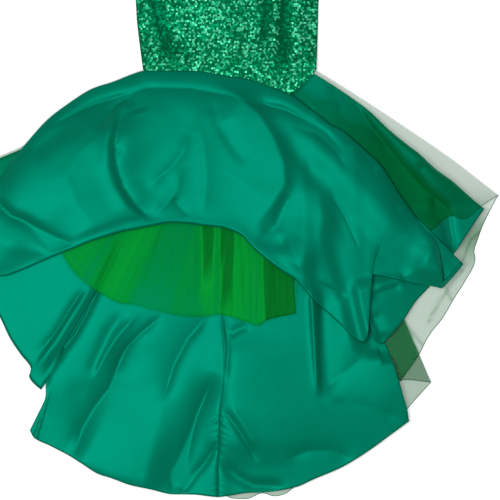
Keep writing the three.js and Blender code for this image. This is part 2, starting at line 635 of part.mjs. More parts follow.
// Satin side panels, each folded at the side of the skirt: the under ply reaches
// the back panel's seam, the upper ply is the wing that shows beside the front.
function sidePiece(name, under, over, zUnder, zOver, cells, thickness, finish) {
  const along = cells[0];
  const low = (s, u) => under(u, s);
  const up = (s, u) => over(u, s);
  const [lowCells, rollCells, upCells] = cells.slice(1);
  const grid = foldedSheet({ low, up, zLow: zUnder, zUp: zOver, along, lowCells, rollCells, upCells });
  add(name, wall(grid, thickness), finish);
}

const sideRightLow = coons(SIDE_RIGHT_TOP, SIDE_RIGHT_HEM, SIDE_RIGHT_INNER, SIDE_RIGHT_FOLD);
const sideRightUp = coons(WING_RIGHT_TOP, WING_RIGHT_HEM, SIDE_RIGHT_FOLD, WING_RIGHT_INNER);
const sideLeftLow = coons(SIDE_LEFT_TOP, SIDE_LEFT_HEM, SIDE_LEFT_INNER, SIDE_LEFT_FOLD);
const sideLeftUp = coons(WING_LEFT_TOP, WING_LEFT_HEM, SIDE_LEFT_FOLD, WING_LEFT_INNER);
sidePiece(
  'satin_side_right', sideRightLow, sideRightUp, sideLow, wingHeight,
  [12, 6, 3, 5], SATIN_T, 'satin',
);
sidePiece(
  'satin_side_left', sideLeftLow, sideLeftUp, sideLow, wingHeight,
  [12, 9, 3, 3], SATIN_T, 'satin',
);

// Sheer mesh: the back piece with its pleat, and a side piece wrapped round each wing.
const meshBackLow = coons(MESH_BACK_TOP, MESH_BACK_HEM, MESH_BACK_LEFT, MESH_BACK_FOLD);
const meshFlapUp = coons(MESH_FLAP_TOP, MESH_FLAP_HEM, MESH_BACK_FOLD, MESH_FLAP_INNER);
sidePiece(
  'mesh_back', meshBackLow, meshFlapUp, () => MESH_T / 2, () => 2.6,
  [12, 12, 3, 1], MESH_T, 'mesh',
);
const meshRightUnder = coons(MESH_RIGHT_TOP, MESH_RIGHT_HEM, MESH_RIGHT_INNER, MESH_RIGHT_FOLD);
const meshRightOver = coons(
  MESH_OVER_RIGHT_TOP, MESH_OVER_RIGHT_HEM, MESH_RIGHT_FOLD, MESH_OVER_RIGHT_INNER,
);
sidePiece(
  'mesh_side_right', meshRightUnder, meshRightOver, meshRightLow, meshOver,
  [13, 7, 3, 7], MESH_T, 'mesh',
);
const meshLeftUnder = coons(MESH_LEFT_TOP, MESH_LEFT_HEM, MESH_LEFT_INNER, MESH_LEFT_FOLD);
const meshLeftOver = coons(MESH_OVER_LEFT_TOP, MESH_OVER_LEFT_HEM, MESH_LEFT_FOLD, MESH_OVER_LEFT_INNER);
sidePiece(
  'mesh_side_left', meshLeftUnder, meshLeftOver, meshLeftLow, meshOver,
  [12, 7, 3, 3], MESH_T, 'mesh',
);

// Net petticoat, gathered into the knee seam: waves grow toward the hem.
function netHeight(base) {
  const wave = (u) => Math.sin(2 * Math.PI * NET_WAVES * u);
  return (x, y, u, v) => base(x, y) + NET_WAVE_RISE * smooth(0, 0.5, v) * wave(u);
}
const netBack = coons(NET_BACK_TOP, NET_BACK_HEM, NET_BACK_LEFT, NET_BACK_RIGHT);
const netFront = coons(NET_FRONT_TOP, NET_FRONT_HEM, NET_FRONT_LEFT, NET_FRONT_RIGHT);
add('petticoat_back', wall(sheet(netBack, netHeight(netBackHeight), 40, 6), NET_T), 'net');
add('petticoat_front', wall(sheet(netFront, netHeight(netFrontHeight), 40, 6), NET_T), 'net');

// Front satin: the under ply runs from the front knee seam to the roll, and the
// upper ply back over it to the hem, which lies on the foot of the sheath.
const lineAt = (s, key) => {
  const t = s * (FRONT_LINES.length - 1);
  const i = Math.min(FRONT_LINES.length - 2, Math.floor(t));
  return lerp(FRONT_LINES[i][key], FRONT_LINES[i + 1][key], t - i);
};
const seamPoint = (s) => {
  const x = lineAt(s, 'seamX');
  return [x, frontSeamY(x) - SEAM_GAP - 1.2];
};
const foldPoint = (s) => [lineAt(s, 'foldX'), lineAt(s, 'foldY')];
const hemPoint = (s) => [lineAt(s, 'hemX'), lineAt(s, 'hemY')];
const between = (a, b, t) => [lerp(a[0], b[0], t), lerp(a[1], b[1], t)];

function underTurnUp(x, y) {
  const seam = frontSeamY(x);
  const onSheath = smooth(seam - 30, seam + 6, y) * (1 - smooth(150, 158, Math.abs(x)));
  return lerp(frontLow(x, y) + 1.6, softMax(frontLow(x, y) + 1.6, sheathFront(x, y) + 1.9, 1), onSheath);
}

function turnedUp(x, y, s, u) {
  const roll = 2 * lineAt(s, 'roll');
  const puff = Math.min(1, roll / 12) * PUFF * Math.sin(Math.PI * Math.min(1, u * 1.02)) ** 0.8;
  const folds = relief(FOLDS_TURNED_UP, x, y) * smooth(0, 0.12, u) * (1 - 0.7 * smooth(0.8, 1, u));
  const rise = (roll - 1.6) * (1 - u) ** 2 + softMax(puff + folds * Math.min(1, roll / 12), 0, 2);
  return underTurnUp(x, y) + rise;
}

const frontGrid = foldedSheet({
  low: (s, u) => between(seamPoint(s), foldPoint(s), u),
  up: (s, u) => between(foldPoint(s), hemPoint(s), u),
  zLow: frontLow,
  zUp: turnedUp,
  along: FRONT_LINES.length - 1,
  lowCells: 6,
  rollCells: 4,
  upCells: 9,
});
add('satin_front', wall(frontGrid, SATIN_T), 'satin');

// ---- put the middle of the bounding box over the origin
const box = new THREE.Box3().setFromObject(group);
for (const mesh of group.children) {
  mesh.geometry.translate(-(box.min.x + box.max.x) / 2, -(box.min.y + box.max.y) / 2, -box.min.z);
}

export default group;
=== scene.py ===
"""Mermaid costume laid flat.

A sequin sheath, a flared satin tail turned up in front, a net petticoat and a sheer mesh outermost.
"""

import math

import bmesh
import bpy
import numpy as np
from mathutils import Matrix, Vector


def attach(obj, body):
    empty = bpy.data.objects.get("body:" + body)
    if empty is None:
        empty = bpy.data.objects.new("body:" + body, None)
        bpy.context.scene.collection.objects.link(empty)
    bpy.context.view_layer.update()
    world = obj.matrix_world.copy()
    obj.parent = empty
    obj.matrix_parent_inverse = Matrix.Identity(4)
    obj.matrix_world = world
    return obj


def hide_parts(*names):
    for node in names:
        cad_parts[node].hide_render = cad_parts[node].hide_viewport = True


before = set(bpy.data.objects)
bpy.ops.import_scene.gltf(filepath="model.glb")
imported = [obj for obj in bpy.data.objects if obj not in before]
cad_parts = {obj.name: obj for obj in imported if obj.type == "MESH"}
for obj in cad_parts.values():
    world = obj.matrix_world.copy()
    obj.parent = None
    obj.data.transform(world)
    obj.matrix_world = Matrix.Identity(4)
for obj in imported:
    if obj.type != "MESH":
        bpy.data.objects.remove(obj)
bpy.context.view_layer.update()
scene = bpy.context.scene

# -------- sizes, in mm
# Drafting origin: the middle of the knee seam. SHIFT brings it to the frame's origin.
SHIFT = (7.379, -41.68)
KNEE_HALF = 152
KNEE_RIGHT = 151
FRONT_SEAM_DROP = 87.5
BACK_SEAM_DROP = 13
SEAM_GAP = 0.4
FRONT_TUCK = 1.2
SHEATH_TOP = 800
SHEATH_LOW = 2.8
SHEATH_LOFT = 3.4
KNEE_STAND = 10.6
BAND_HEIGHT = 32
BAND_LIFT = 0.6

# Heights of the layers: LOW is where one lies, STEP its rise over the folded side mesh under it,
# LOFT the room its valleys sink into, and GAP its distance from the layer below.
MESH_LOW, MESH_STEP_RIGHT, MESH_STEP_LEFT = 0.5, 3.5, 1.4
MESH_FOLD_HEIGHT, MESH_OVER_GAP = 4.4, 1.6
BACK_LOW, BACK_STEP_RIGHT, BACK_STEP_LEFT, BACK_LOFT, BACK_LEAST = 1.9, 3.7, 1.9, 12, 1.6
SIDE_LOW, SIDE_STEP, SIDE_LOFT, SIDE_GAP = 2.2, 5.4, 1.5, 2.0
WING_LOFT, WING_BULGE, WING_LEAST, WING_GAP = 2.6, 6, 1.6, 2.6
NET_BACK_GAP, NET_FRONT_GAP, NET_GAP, NET_DEPTH = 1.6, 3.6, 2.1, 5.6
PLY_GAP, SHEATH_GAP = 1.6, 2.6
PUFF = 13
FOLD_BLEND = 0.8
CREASE_ROUND = 1.0
PUCKER_PITCH = 10.5
HEM_RADIUS = 0.55

SEQUIN_FIELD = 430
SEQUIN_ACROSS = 3.7
SEQUIN_ALONG = 3.3
SEQUIN_CORNER = 2.6325
SEQUIN_CUT = 1.131
SEQUIN_SIDE_CLEAR = 1.6
SEQUIN_END_CLEAR = 1.4
SEQUIN_LIFT = 1.2
SEQUIN_TIP = 0.11
SEQUIN_STRAY = 0.25

# y above the knee seam, x of the left and right edge
SHEATH_WIDTHS = [
    (0, -152, 151), (52, -159, 153), (88, -163, 154), (122, -165, 155), (200, -178, 171), (300, -200, 197),
    (390, -210, 209), (470, -197, 196), (570, -164, 164), (660, -178, 178), (740, -199, 199), (800, -204, 204),
]

# Edges of the cut pieces as they lie, each a list of (x, y).
BACK_LEFT_TOP = [(-108.5, -10.9), (-54.2, -12.8), (-0.3, -13.5)]
BACK_LEFT_SIDE = [
    (-108.5, -10.9), (-157.5, -175), (-201.2, -315), (-234.5, -390.2), (-281.8, -470.8), (-322, -549.5),
    (-322, -568.8), (-336, -602), (-350, -630),
]
BACK_LEFT_HEM = [
    (-350, -630), (-344.8, -640.5), (-313.2, -658), (-280, -675.5), (-257.2, -689.5), (-232.8, -705.2),
    (-206.5, -714), (-178.5, -724.5), (-140, -733.2), (-105, -742), (-59.5, -742.9), (-38.5, -745.5),
    (-21.3, -747.2),
]
BACK_RIGHT_TOP = [(0.3, -13.5), (63, -12.4), (127.8, -9.5)]
BACK_RIGHT_HEM = [
    (-20.7, -747.2), (0, -744.6), (26.2, -740.2), (63, -738.5), (96.2, -734.1), (120.8, -728),
    (143.5, -717.5), (199.5, -693), (246.8, -663.2), (280, -638.8), (313.2, -614.2),
]
BACK_RIGHT_SIDE = [
    (127.8, -9.5), (201.2, -241.5), (271.2, -476), (278.2, -493.5), (292.2, -532), (302.8, -568.8),
    (309.8, -593.2), (313.2, -614.2),
]
SIDE_LEFT_INNER = [
    (-107.7, -11.9), (-156.7, -176), (-200.5, -316), (-233.7, -391.2), (-281, -471.8), (-321.3, -547),
    (-330, -559.2),
]
SIDE_LEFT_HEM = [
    (-332.5, -558.2), (-348.2, -544.2), (-353.5, -535.5), (-350, -523.2), (-367.5, -497), (-385, -470.8),
    (-402.5, -434), (-427, -392), (-451.5, -336), (-469, -271.2), (-479.5, -187.2),
]
SIDE_LEFT_FOLD = [
    (-147, -7), (-204.8, -29.8), (-245, -49), (-297.5, -85.8), (-332.5, -119), (-360.5, -136.5),
    (-402.5, -154.9), (-479.5, -187.2),
]
SIDE_LEFT_TOP = [(-110.2, -10.9), (-129.5, -9.1), (-147, -7)]
WING_LEFT_TOP = [(-147, -7), (-131.2, -24.9), (-112, -42.9)]
WING_LEFT_HEM = [(-479.5, -187.2), (-474.2, -236.2), (-458.5, -283.5), (-411.2, -315)]
WING_LEFT_INNER = [(-112, -42.9), (-245, -166.2), (-411.2, -315)]
SIDE_RIGHT_INNER = [(122.5, -10.5), (185.5, -236.2), (245, -446.2), (253.8, -474.2)]
SIDE_RIGHT_HEM = [
    (253.8, -474.2), (266, -479.5), (276.5, -469), (304.5, -435.8), (325.5, -404.2), (350, -378),
    (374.5, -346.5), (395.5, -313.2), (420, -274.8), (444.5, -243.2),
]
SIDE_RIGHT_FOLD = [
    (147, -7), (171.5, -21.9), (199.5, -40.2), (245, -73.5), (278.2, -105), (308, -129.5), (330.8, -147),
    (357, -171.5), (390.2, -196), (423.5, -225.8), (444.5, -243.2),
]
SIDE_RIGHT_TOP = [(122.5, -10.5), (136.5, -8.8), (147, -7)]
WING_RIGHT_TOP = [(147, -7), (131.2, -24.9), (112, -42.9)]
WING_RIGHT_HEM = [(444.5, -243.2), (432.2, -260.8), (414.8, -287), (393.8, -318.5), (372.8, -343)]
WING_RIGHT_INNER = [(112, -42.9), (175, -126), (271.2, -227.5), (372.8, -343)]
MESH_BACK_LEFT = [(-147, -10.5), (-231, -253.8), (-306.2, -546), (-318.5, -577.5)]
MESH_BACK_HEM = [
    (-318.5, -577.5), (-334.2, -630), (-306.2, -654.5), (-252, -686), (-203, -707), (-136.5, -726.2),
    (-59.5, -735), (-14, -740.2), (1.8, -749), (31.5, -749.9), (56, -740.2), (78.8, -745.5), (94.5, -742),
    (120.8, -722.8), (201.2, -686), (248.5, -658), (280, -630), (309.8, -593.2), (351.8, -546),
]
MESH_BACK_FOLD = [(147, -8.8), (227.5, -220.5), (304.5, -435.8), (330.8, -497), (351.8, -546)]
MESH_BACK_TOP = [(-147, -10.5), (-87.5, -13.3), (0, -15), (87.5, -13.3), (147, -8.8)]
MESH_FLAP_INNER = [(138.2, -11.4), (210, -227.5), (262.5, -463.8), (294, -546)]
MESH_FLAP_TOP = [(147, -8.8), (138.2, -11.4)]
MESH_FLAP_HEM = [(351.8, -546), (301, -542.5), (294, -546)]
MESH_RIGHT_INNER = [(129.5, -12.2), (197.8, -227.5), (257.2, -463.8), (297.5, -545.1)]
MESH_RIGHT_HEM = [
    (297.5, -545.1), (330.8, -497), (343, -472.5), (351.8, -458.5), (369.2, -437.5), (395.5, -393.8),
    (411.2, -369.2), (428.8, -329), (427, -316.8), (432.2, -299.2), (441, -274.8), (449.8, -255.5),
    (469, -218.8),
]
MESH_RIGHT_FOLD = [(152.2, -1.4), (201.2, -31.5), (297.5, -94.5), (385, -154), (469, -218.8)]
MESH_RIGHT_TOP = [(129.5, -12.2), (141.8, -7.4), (152.2, -1.4)]
MESH_OVER_RIGHT_TOP = [(152.2, -1.4), (134.8, -19.2), (112, -40.2)]
MESH_OVER_RIGHT_HEM = [
    (469, -218.8), (444.5, -234.5), (404.2, -260.8), (388.5, -255.5), (355.2, -278.2), (322, -297.5),
]
MESH_OVER_RIGHT_INNER = [(112, -40.2), (161, -117.2), (241.5, -176.8), (288.8, -241.5), (322, -297.5)]
MESH_LEFT_INNER = [(-129.5, -13.1), (-220.5, -253.8), (-304.5, -533.8)]
MESH_LEFT_HEM = [
    (-304.5, -533.8), (-339.5, -514.5), (-360.5, -481.2), (-392, -427), (-418.2, -381.5), (-442.8, -329),
    (-463.8, -262.5), (-483.9, -184.6),
]
MESH_LEFT_FOLD = [
    (-152.2, -1.4), (-206.5, -24.5), (-246.8, -42.9), (-300.1, -80.5), (-334.2, -114.6), (-362.2, -132.7),
    (-402.5, -150.5), (-483.9, -184.6),
]
MESH_LEFT_TOP = [(-129.5, -13.1), (-141.8, -7.9), (-152.2, -1.4)]
MESH_OVER_LEFT_TOP = [(-152.2, -1.4), (-138.2, -16.3), (-119, -34.6)]
MESH_OVER_LEFT_HEM = [(-483.9, -184.6), (-462, -227.5), (-427, -248.5), (-388.5, -266)]
MESH_OVER_LEFT_INNER = [(-119, -34.6), (-245, -140), (-388.5, -266)]
NET_BACK_TOP = [(-94.5, -20.5), (-61.2, -21), (0, -21.9), (52.5, -21), (96.2, -18.4)]
NET_BACK_LEFT = [(-94.5, -20.5), (-115.5, -70), (-217, -171.5), (-311.5, -294)]
NET_BACK_HEM = [
    (-311.5, -294), (-297.5, -322), (-274.8, -357), (-255.5, -374.5), (-224, -395.5), (-190.8, -411.2),
    (-171.5, -413), (-138.2, -421.8), (-110.2, -428.8), (-75.2, -434), (-40.2, -434), (-21, -430.5),
    (17.5, -441), (35, -446.2), (49, -449.8), (66.5, -441), (91, -434), (117.2, -428.8),
]
NET_BACK_RIGHT = [(96.2, -18.4), (112, -227.5), (119, -371), (117.2, -428.8)]
NET_FRONT_TOP = [(-101.5, -57.8), (-52.5, -84), (0, -93.6), (52.5, -84), (89.2, -65.6)]
NET_FRONT_LEFT = [(-101.5, -57.8), (-210, -175), (-307.8, -292.8)]
NET_FRONT_HEM = [
    (-307.8, -292.8), (-293.8, -319.6), (-271.7, -353.3), (-253, -370.8), (-222.8, -391.8),
    (-190.1, -407.6), (-170.9, -409.9), (-137.6, -418.7), (-109.6, -425.7), (-74.6, -430.9),
    (-40.2, -430.9), (-21, -427.4), (17.5, -436.7), (35, -442.6), (49, -446.1), (64.1, -437.3),
    (91, -430.3), (114.2, -425.7),
]
NET_FRONT_RIGHT = [(89.2, -65.6), (103.2, -227.5), (110.2, -371), (114.2, -425.7)]
BACK_SEAM = [
    (-0.3, -13.5), (-7, -227.5), (-14, -428.8), (-10.5, -535.5), (-17.5, -591.5), (-19.2, -654.5),
    (-21, -680.8), (-21.3, -747.2),
]

BACK_SEAM_LEFT = [(x + 0.5, y) for x, y in BACK_SEAM]
BACK_SEAM_RIGHT = [(x - 0.5, y) for x, y in BACK_SEAM]

# Front satin, one row for each radial line of cloth:
# x on the knee seam, fold x, fold y, radius of the roll, hem x, hem y
FRONT_LINES = [
    (-117.2, -456.8, -329, 2.5, -472.5, -308),
    (-113.8, -441, -343, 3.5, -469, -276.5),
    (-110.2, -402.5, -360.5, 5, -444.5, -227.5),
    (-106.8, -367.5, -351.8, 6, -402.5, -194.2),
    (-103.2, -330.8, -336, 6.5, -379.8, -159.2),
    (-98, -302.8, -323.8, 7, -360.5, -134.8),
    (-92.8, -271.2, -311.5, 7, -350, -122.5),
    (-85.8, -250.2, -302.8, 7.5, -323.8, -92.8),
    (-77, -224, -294, 8, -295.8, -69.1),
    (-66.5, -189, -283.5, 8.5, -245, -35),
    (-54.2, -161, -278.2, 9, -204.8, -21),
    (-42, -134.8, -273, 9, -152.2, -1.8),
    (-29.8, -106.8, -267.8, 9, -113.8, -1.8),
    (-17.5, -68.2, -269.5, 9, -78.8, -1.8),
    (-3.5, -45.5, -273, 9, -47.2, -3.5),
    (10.5, -12.2, -276.5, 9, -8.8, -10.5),
    (22.8, 21, -290.5, 9, 35, -17.5),
    (35, 43.8, -315, 8.5, 73.5, -31.5),
    (47.2, 85.8, -348.2, 8, 110.2, -47.2),
    (57.8, 115.5, -367.5, 7.5, 136.5, -66.5),
    (66.5, 134.8, -390.2, 7, 157.5, -82.2),
    (73.5, 152.2, -407.8, 7, 175, -96.2),
    (78.8, 190.8, -442.8, 6.5, 196, -106.8),
    (83.1, 213.5, -465.5, 6, 217, -124.2),
    (86.6, 231, -476, 5.5, 234.5, -140),
    (89.2, 239.8, -465.5, 5.5, 248.5, -152.2),
    (91.3, 241.5, -437.5, 5.5, 262.5, -166.2),
    (93.4, 241.5, -395.5, 5.5, 278.2, -189),
    (95.6, 243.2, -358.8, 5.5, 295.8, -217),
    (97.7, 266, -360.5, 5, 308, -234.5),
    (99.4, 290.5, -365.8, 4.5, 322, -255.5),
    (101.2, 311.5, -371, 4, 336, -274.8),
    (102.9, 341.2, -376.2, 3.5, 360.5, -302.8),
    (104.7, 360.5, -379.8, 3, 371, -348.2),
    (106.4, 371, -381.5, 2.6, 372.8, -367.5),
    (108.2, 393.8, -357, 1.5, 388.5, -352.6),
    (109.9, 407.8, -339.5, 1.4, 401.6, -336.9),
]

# Creases: kind, rise, how far it fades on the line's left and on its right, centre line.
SOFT, CRISP = 0, 1
TURN_UP_CREASES = [
    (SOFT, 8, 40, 100, [(-189, -73.5), (-210, -140), (-203, -201.2), (-161, -273)]),
    (CRISP, -5, 10, 24, [(-315, -101.5), (-271.2, -76.1), (-227.5, -56.9), (-189, -45.5), (-157.5, -36.8)]),
    (CRISP, -3, 10, 24, [(-192.5, -44.6), (-140, -30.6), (-70, -32.4), (-8.8, -43.8), (38.5, -57.8)]),
    (CRISP, -6.5, 12, 22, [
        (17.5, -54.2), (56, -60.4), (92.8, -68.2), (131.2, -85.8), (168, -108.5), (199.5, -147)
    ]),
    (SOFT, 1.6, 9, 14, [(56, -38.5), (122.5, -59.5), (175, -94.5), (213.5, -136.5), (262.5, -199.5)]),
    (CRISP, -5, 5, 15, [(-178.5, -47.2), (-197.8, -63), (-215.2, -84), (-225.8, -108.5)]),
    (SOFT, 3.2, 6, 16, [
        (-189, -59.5), (-204.8, -89.2), (-213.5, -127.8), (-211.8, -168), (-199.5, -206.5),
        (-178.5, -239.8), (-150.5, -264.2), (-126, -276.5)
    ]),
    (CRISP, -5, 17, 4, [
        (-178.5, -59.5), (-194.2, -91), (-202.1, -127.8), (-199.5, -168), (-187.2, -204.8),
        (-166.2, -236.2), (-141.8, -259), (-120.8, -271.2)
    ]),
    (CRISP, -1.6, 6, 9, [(-206.5, -152.2), (-185.5, -136.5)]),
    (CRISP, 4, 60, 70, [
        (-213.5, -105), (-253.8, -138.2), (-285.2, -187.2), (-266, -234.5), (-225.8, -288.8)
    ]),
    (SOFT, -3, 16, 16, [(-350, -150.5), (-304.5, -115.5), (-252, -89.2)]),
    (CRISP, 3, 16, 20, [(-145.2, -210), (-122.5, -187.2), (-101.5, -169.8), (-84, -148.8), (-70, -112)]),
    (CRISP, 2.6, 16, 14, [(-134.8, -259), (-108.5, -232.8), (-92.8, -210), (-87.5, -168)]),
    (CRISP, -3, 5, 10, [(-98, -222.2), (-87.5, -238), (-73.5, -257.2)]),
    (CRISP, 3, 34, 18, [(-63, -73.5), (-45.5, -136.5), (-42, -192.5), (-47.2, -259)]),
    (SOFT, -2, 16, 10, [(-33.2, -45.5), (-19.2, -94.5), (3.5, -131.2), (35, -171.5)]),
    (SOFT, -3, 14, 14, [(-182, -47.2), (-162.8, -59.5), (-157.5, -77)]),
    (CRISP, 9, 20, 75, [
        (-28, -17.5), (17.5, -49), (52.5, -78.8), (78.8, -120.8), (94.5, -162.8), (96.2, -199.5),
        (75.2, -238), (35, -281.8)
    ]),
    (SOFT, 8, 26, 40, [
        (129.5, -182), (152.2, -220.5), (157.5, -259), (145.2, -308), (119, -336), (87.5, -350)
    ]),
    (CRISP, -4.5, 15, 12, [(105, -213.5), (89.2, -245), (80.5, -273), (56, -290.5)]),
    (SOFT, -3, 14, 12, [(45.5, -294), (73.5, -306.2), (105, -302.8)]),
    (SOFT, -4.5, 26, 20, [
        (87.5, -84), (115.5, -133), (147, -178.5), (168, -217), (189, -259), (210, -315)
    ]),
    (CRISP, -1.4, 3, 3, [(171.5, -210), (201.2, -257.2), (225.8, -315)]),
    (CRISP, -4, 5, 14, [(138.2, -369.2), (171.5, -381.5), (204.8, -397.2)]),
    (CRISP, -2.5, 16, 16, [(105, -98), (148.8, -112), (185.5, -143.5), (210, -185.5)]),
    (CRISP, 2.5, 14, 14, [(297.5, -369.2), (332.5, -343), (364, -308)]),
    (CRISP, -12, 9, 24, [
        (-434, -206.5), (-402.5, -233.6), (-381.5, -253.8), (-357, -264.2), (-329, -281.8), (-301, -299.2),
        (-262.5, -309.8)
    ]),
    (SOFT, 1.5, 14, 14, [(-427, -283.5), (-381.5, -308), (-336, -315), (-297.5, -320.2)]),
]
BACK_CREASES = [
    (CRISP, -7, 8, 9, [
        (-178.5, -273), (-206.5, -336), (-227.5, -378), (-248.5, -423.5), (-271.2, -463.8), (-301, -502.2),
        (-336, -553)
    ]),
    (CRISP, 5, 7, 7, [(-241.5, -378), (-271.2, -423.5), (-306.2, -477.8), (-343, -528.5)]),
    (CRISP, -5, 6, 9, [(-252, -378), (-280, -420), (-306.2, -462), (-339.5, -507.5)]),
    (CRISP, -2.5, 5, 5, [(-290.5, -490), (-315, -528.5), (-323.8, -560)]),
    (SOFT, -3, 9, 12, [(-182, -423.5), (-210, -458.5), (-227.5, -498.8), (-245, -539)]),
    (CRISP, 3, 9, 9, [(-157.5, -423.5), (-192.5, -462), (-217, -497), (-239.8, -542.5)]),
    (CRISP, -4, 11, 8, [(-115.5, -427), (-154, -458.5), (-185.5, -490), (-206.5, -535.5)]),
    (CRISP, -9, 60, 19, [
        (-164.5, -455), (-192.5, -511), (-211.8, -556.5), (-238, -591.5), (-257.2, -626.5), (-276.5, -686)
    ]),
    (SOFT, 8, 80, 30, [(-287, -661.5), (-210, -700), (-113.8, -724.5)]),
    (SOFT, -3, 26, 60, [(-297.5, -574), (-234.5, -567), (-178.5, -568.8), (-113.8, -579.2)]),
    (CRISP, -7, 15, 46, [(-31.5, -423.5), (-47.2, -439.2), (-75.2, -472.5), (-98, -516.2), (-119, -584.5)]),
    (CRISP, -12, 22, 28, [
        (-24.5, -528.5), (-42, -567), (-57.8, -603.8), (-71.8, -647.5), (-85.8, -693), (-108.5, -749)
    ]),
    (CRISP, -6, 9, 14, [(-19.2, -647.5), (-42, -686), (-63, -710.5), (-91, -749)]),
    (CRISP, -4.5, 10, 5, [(-15.8, -589.8), (8.8, -621.2), (31.5, -656.2), (49, -687.8)]),
    (CRISP, 2.5, 12, 12, [(-1.8, -582.8), (22.8, -619.5), (49, -661.5)]),
    (SOFT, -5, 10, 10, [(-19.2, -684.2), (10.5, -710.5), (38.5, -726.2), (101.5, -729.8)]),
    (CRISP, 6, 14, 5, [(140.9, -374.5), (147, -472.5), (153.1, -572.2)]),
    (SOFT, -8, 26, 9, [(161, -367.5), (161, -455), (162.8, -581)]),
    (CRISP, -2.2, 26, 6, [(176.8, -575.8), (245, -591.5), (301, -616)]),
    (CRISP, -3.2, 15, 15, [
        (94.5, -684.2), (115.5, -673.8), (140, -665), (175, -665), (199.5, -675.5), (220.5, -684.2)
    ]),
    (SOFT, 7, 110, 30, [(3.5, -455), (10.5, -577.5), (17.5, -700)]),
    (CRISP, -3, 34, 24, [(157.5, -563.5), (201.2, -528.5), (252, -486.5)]),
    (CRISP, -3.5, 8, 3, [(-11.4, -423.5), (-3.5, -481.2), (-7, -546)]),
    (SOFT, -2.5, 5, 9, [(33.2, -448), (14, -455), (-1.8, -467.2)]),
]
SIDE_CREASES = [
    (SOFT, 9, 42, 24, [(339.5, -236.2), (353.5, -306.2), (339.5, -376.2)]),
    (SOFT, 9, 70, 14, [(224, -360.5), (234.5, -420), (246.8, -486.5)]),
    (CRISP, -3.5, 7, 7, [(245, -400.8), (269.5, -386.8), (301, -376.2)]),
    (CRISP, 2.5, 16, 12, [(252, -378), (280, -372.8), (304.5, -360.5)]),
    (SOFT, -4, 14, 6, [(245, -423.5), (257.2, -451.5), (267.8, -481.2)]),
]
WING_CREASES = [
    (SOFT, 10, 34, 20, [(329, -157.5), (346.5, -210), (362.2, -252)]),
    (SOFT, 8, 22, 30, [(213.5, -61.2), (262.5, -101.5), (322, -150.5), (385, -203), (420, -238)]),
    (CRISP, -14, 10, 34, [
        (176.8, -24.5), (201.2, -49), (248.5, -101.5), (297.5, -164.5), (339.5, -210), (374.5, -239.8),
        (390.2, -276.5)
    ]),
    (CRISP, 3, 12, 12, [(203, -136.5), (245, -126), (273, -127.8)]),
    (CRISP, 3, 12, 12, [(248.5, -173.2), (287, -164.5), (311.5, -168)]),
    (CRISP, 3, 12, 12, [(290.5, -243.2), (325.5, -232.8), (357, -234.5)]),
    (CRISP, 2.5, 12, 12, [(136.5, -68.2), (168, -61.2), (199.5, -64.8)]),
    (CRISP, -12, 10, 14, [(353.5, -213.5), (378, -266), (392, -322)]),
]
SHEATH_CREASES = [
    (SOFT, -4, 10, 10, [(-140, 227.5), (-131.2, 122.5), (-117.2, 70), (-101.5, 7)]),
    (SOFT, 2.2, 12, 12, [(-105, 210), (-94.5, 122.5), (-80.5, 52.5)]),
    (SOFT, -3.5, 10, 10, [(99.8, 227.5), (96.2, 122.5), (94.5, 52.5), (87.5, -14)]),
    (SOFT, -2.6, 8, 8, [(66.5, 210), (66.5, 122.5), (59.5, 35)]),
    (SOFT, 1.8, 10, 10, [(82.2, 192.5), (82.2, 105), (75.2, 17.5)]),
    (SOFT, 2, 12, 12, [(122.5, 227.5), (122.5, 122.5), (117.2, 17.5)]),
    (SOFT, 1.5, 30, 30, [(-8.8, 332.5), (-8.8, 122.5), (-8.8, 17.5)]),
    (SOFT, -2, 20, 20, [(-52.5, 787.5), (-26.2, 577.5), (-35, 385)]),
    (SOFT, -1.8, 20, 20, [(43.8, 647.5), (35, 472.5), (56, 297.5)]),
    (SOFT, -1.5, 16, 16, [(-87.5, 700), (-96.2, 560), (-101.5, 402.5)]),
]
NET_CREASES = [
    (CRISP, 3, 5, 5, [(-120.8, -266), (-134.8, -311.5), (-147, -353.5), (-162.8, -395.5)]),
    (SOFT, -1.5, 4, 6, [(-133, -273), (-147, -315), (-159.2, -353.5), (-173.2, -395.5)]),
    (CRISP, -2.5, 5, 6, [(-187.2, -283.5), (-210, -336), (-234.5, -392)]),
    (CRISP, 2, 5, 4, [(-199.5, -297.5), (-220.5, -339.5), (-241.5, -381.5)]),
    (CRISP, 2, 4, 4, [(-63, -276.5), (-63, -434)]),
    (CRISP, -3.5, 5, 4, [(-49, -273), (-47.2, -385)]),
    (CRISP, -3.5, 4, 4, [(-35, -273), (-33.2, -374.5)]),
    (CRISP, 2, 4, 4, [(-24.5, -276.5), (-19.2, -434)]),
    (CRISP, -3.5, 4, 4, [(-10.5, -276.5), (-7, -381.5)]),
    (CRISP, -3.5, 4, 5, [(1.8, -276.5), (5.2, -388.5)]),
    (CRISP, 2.5, 5, 4, [(14, -283.5), (22.8, -441)]),
    (CRISP, 1.4, 3, 3, [(29.8, -290.5), (35, -444.5)]),
    (CRISP, 1.4, 3, 3, [(43.8, -297.5), (45.5, -444.5)]),
    (CRISP, 4.5, 40, 3, [(54.2, -290.5), (57.8, -441)]),
    (CRISP, -1.8, 4, 4, [(78.8, -308), (80.5, -423.5)]),
]
MESH_CREASES = [
    (CRISP, 3, 10, 10, [(362.2, -336), (378, -385), (388.5, -402.5)]),
    (CRISP, 2.5, 8, 8, [(304.5, -441), (336, -481.2)]),
    (CRISP, 3, 12, 12, [(406, -350), (367.5, -402.5), (346.5, -441)]),
    (CRISP, 2.5, 8, 8, [(437.5, -283.5), (420, -297.5), (406, -336)]),
]

# The long fold of the right wing, where mesh is gathered under the upper ply.
GATHER_LINE = WING_CREASES[2][4]

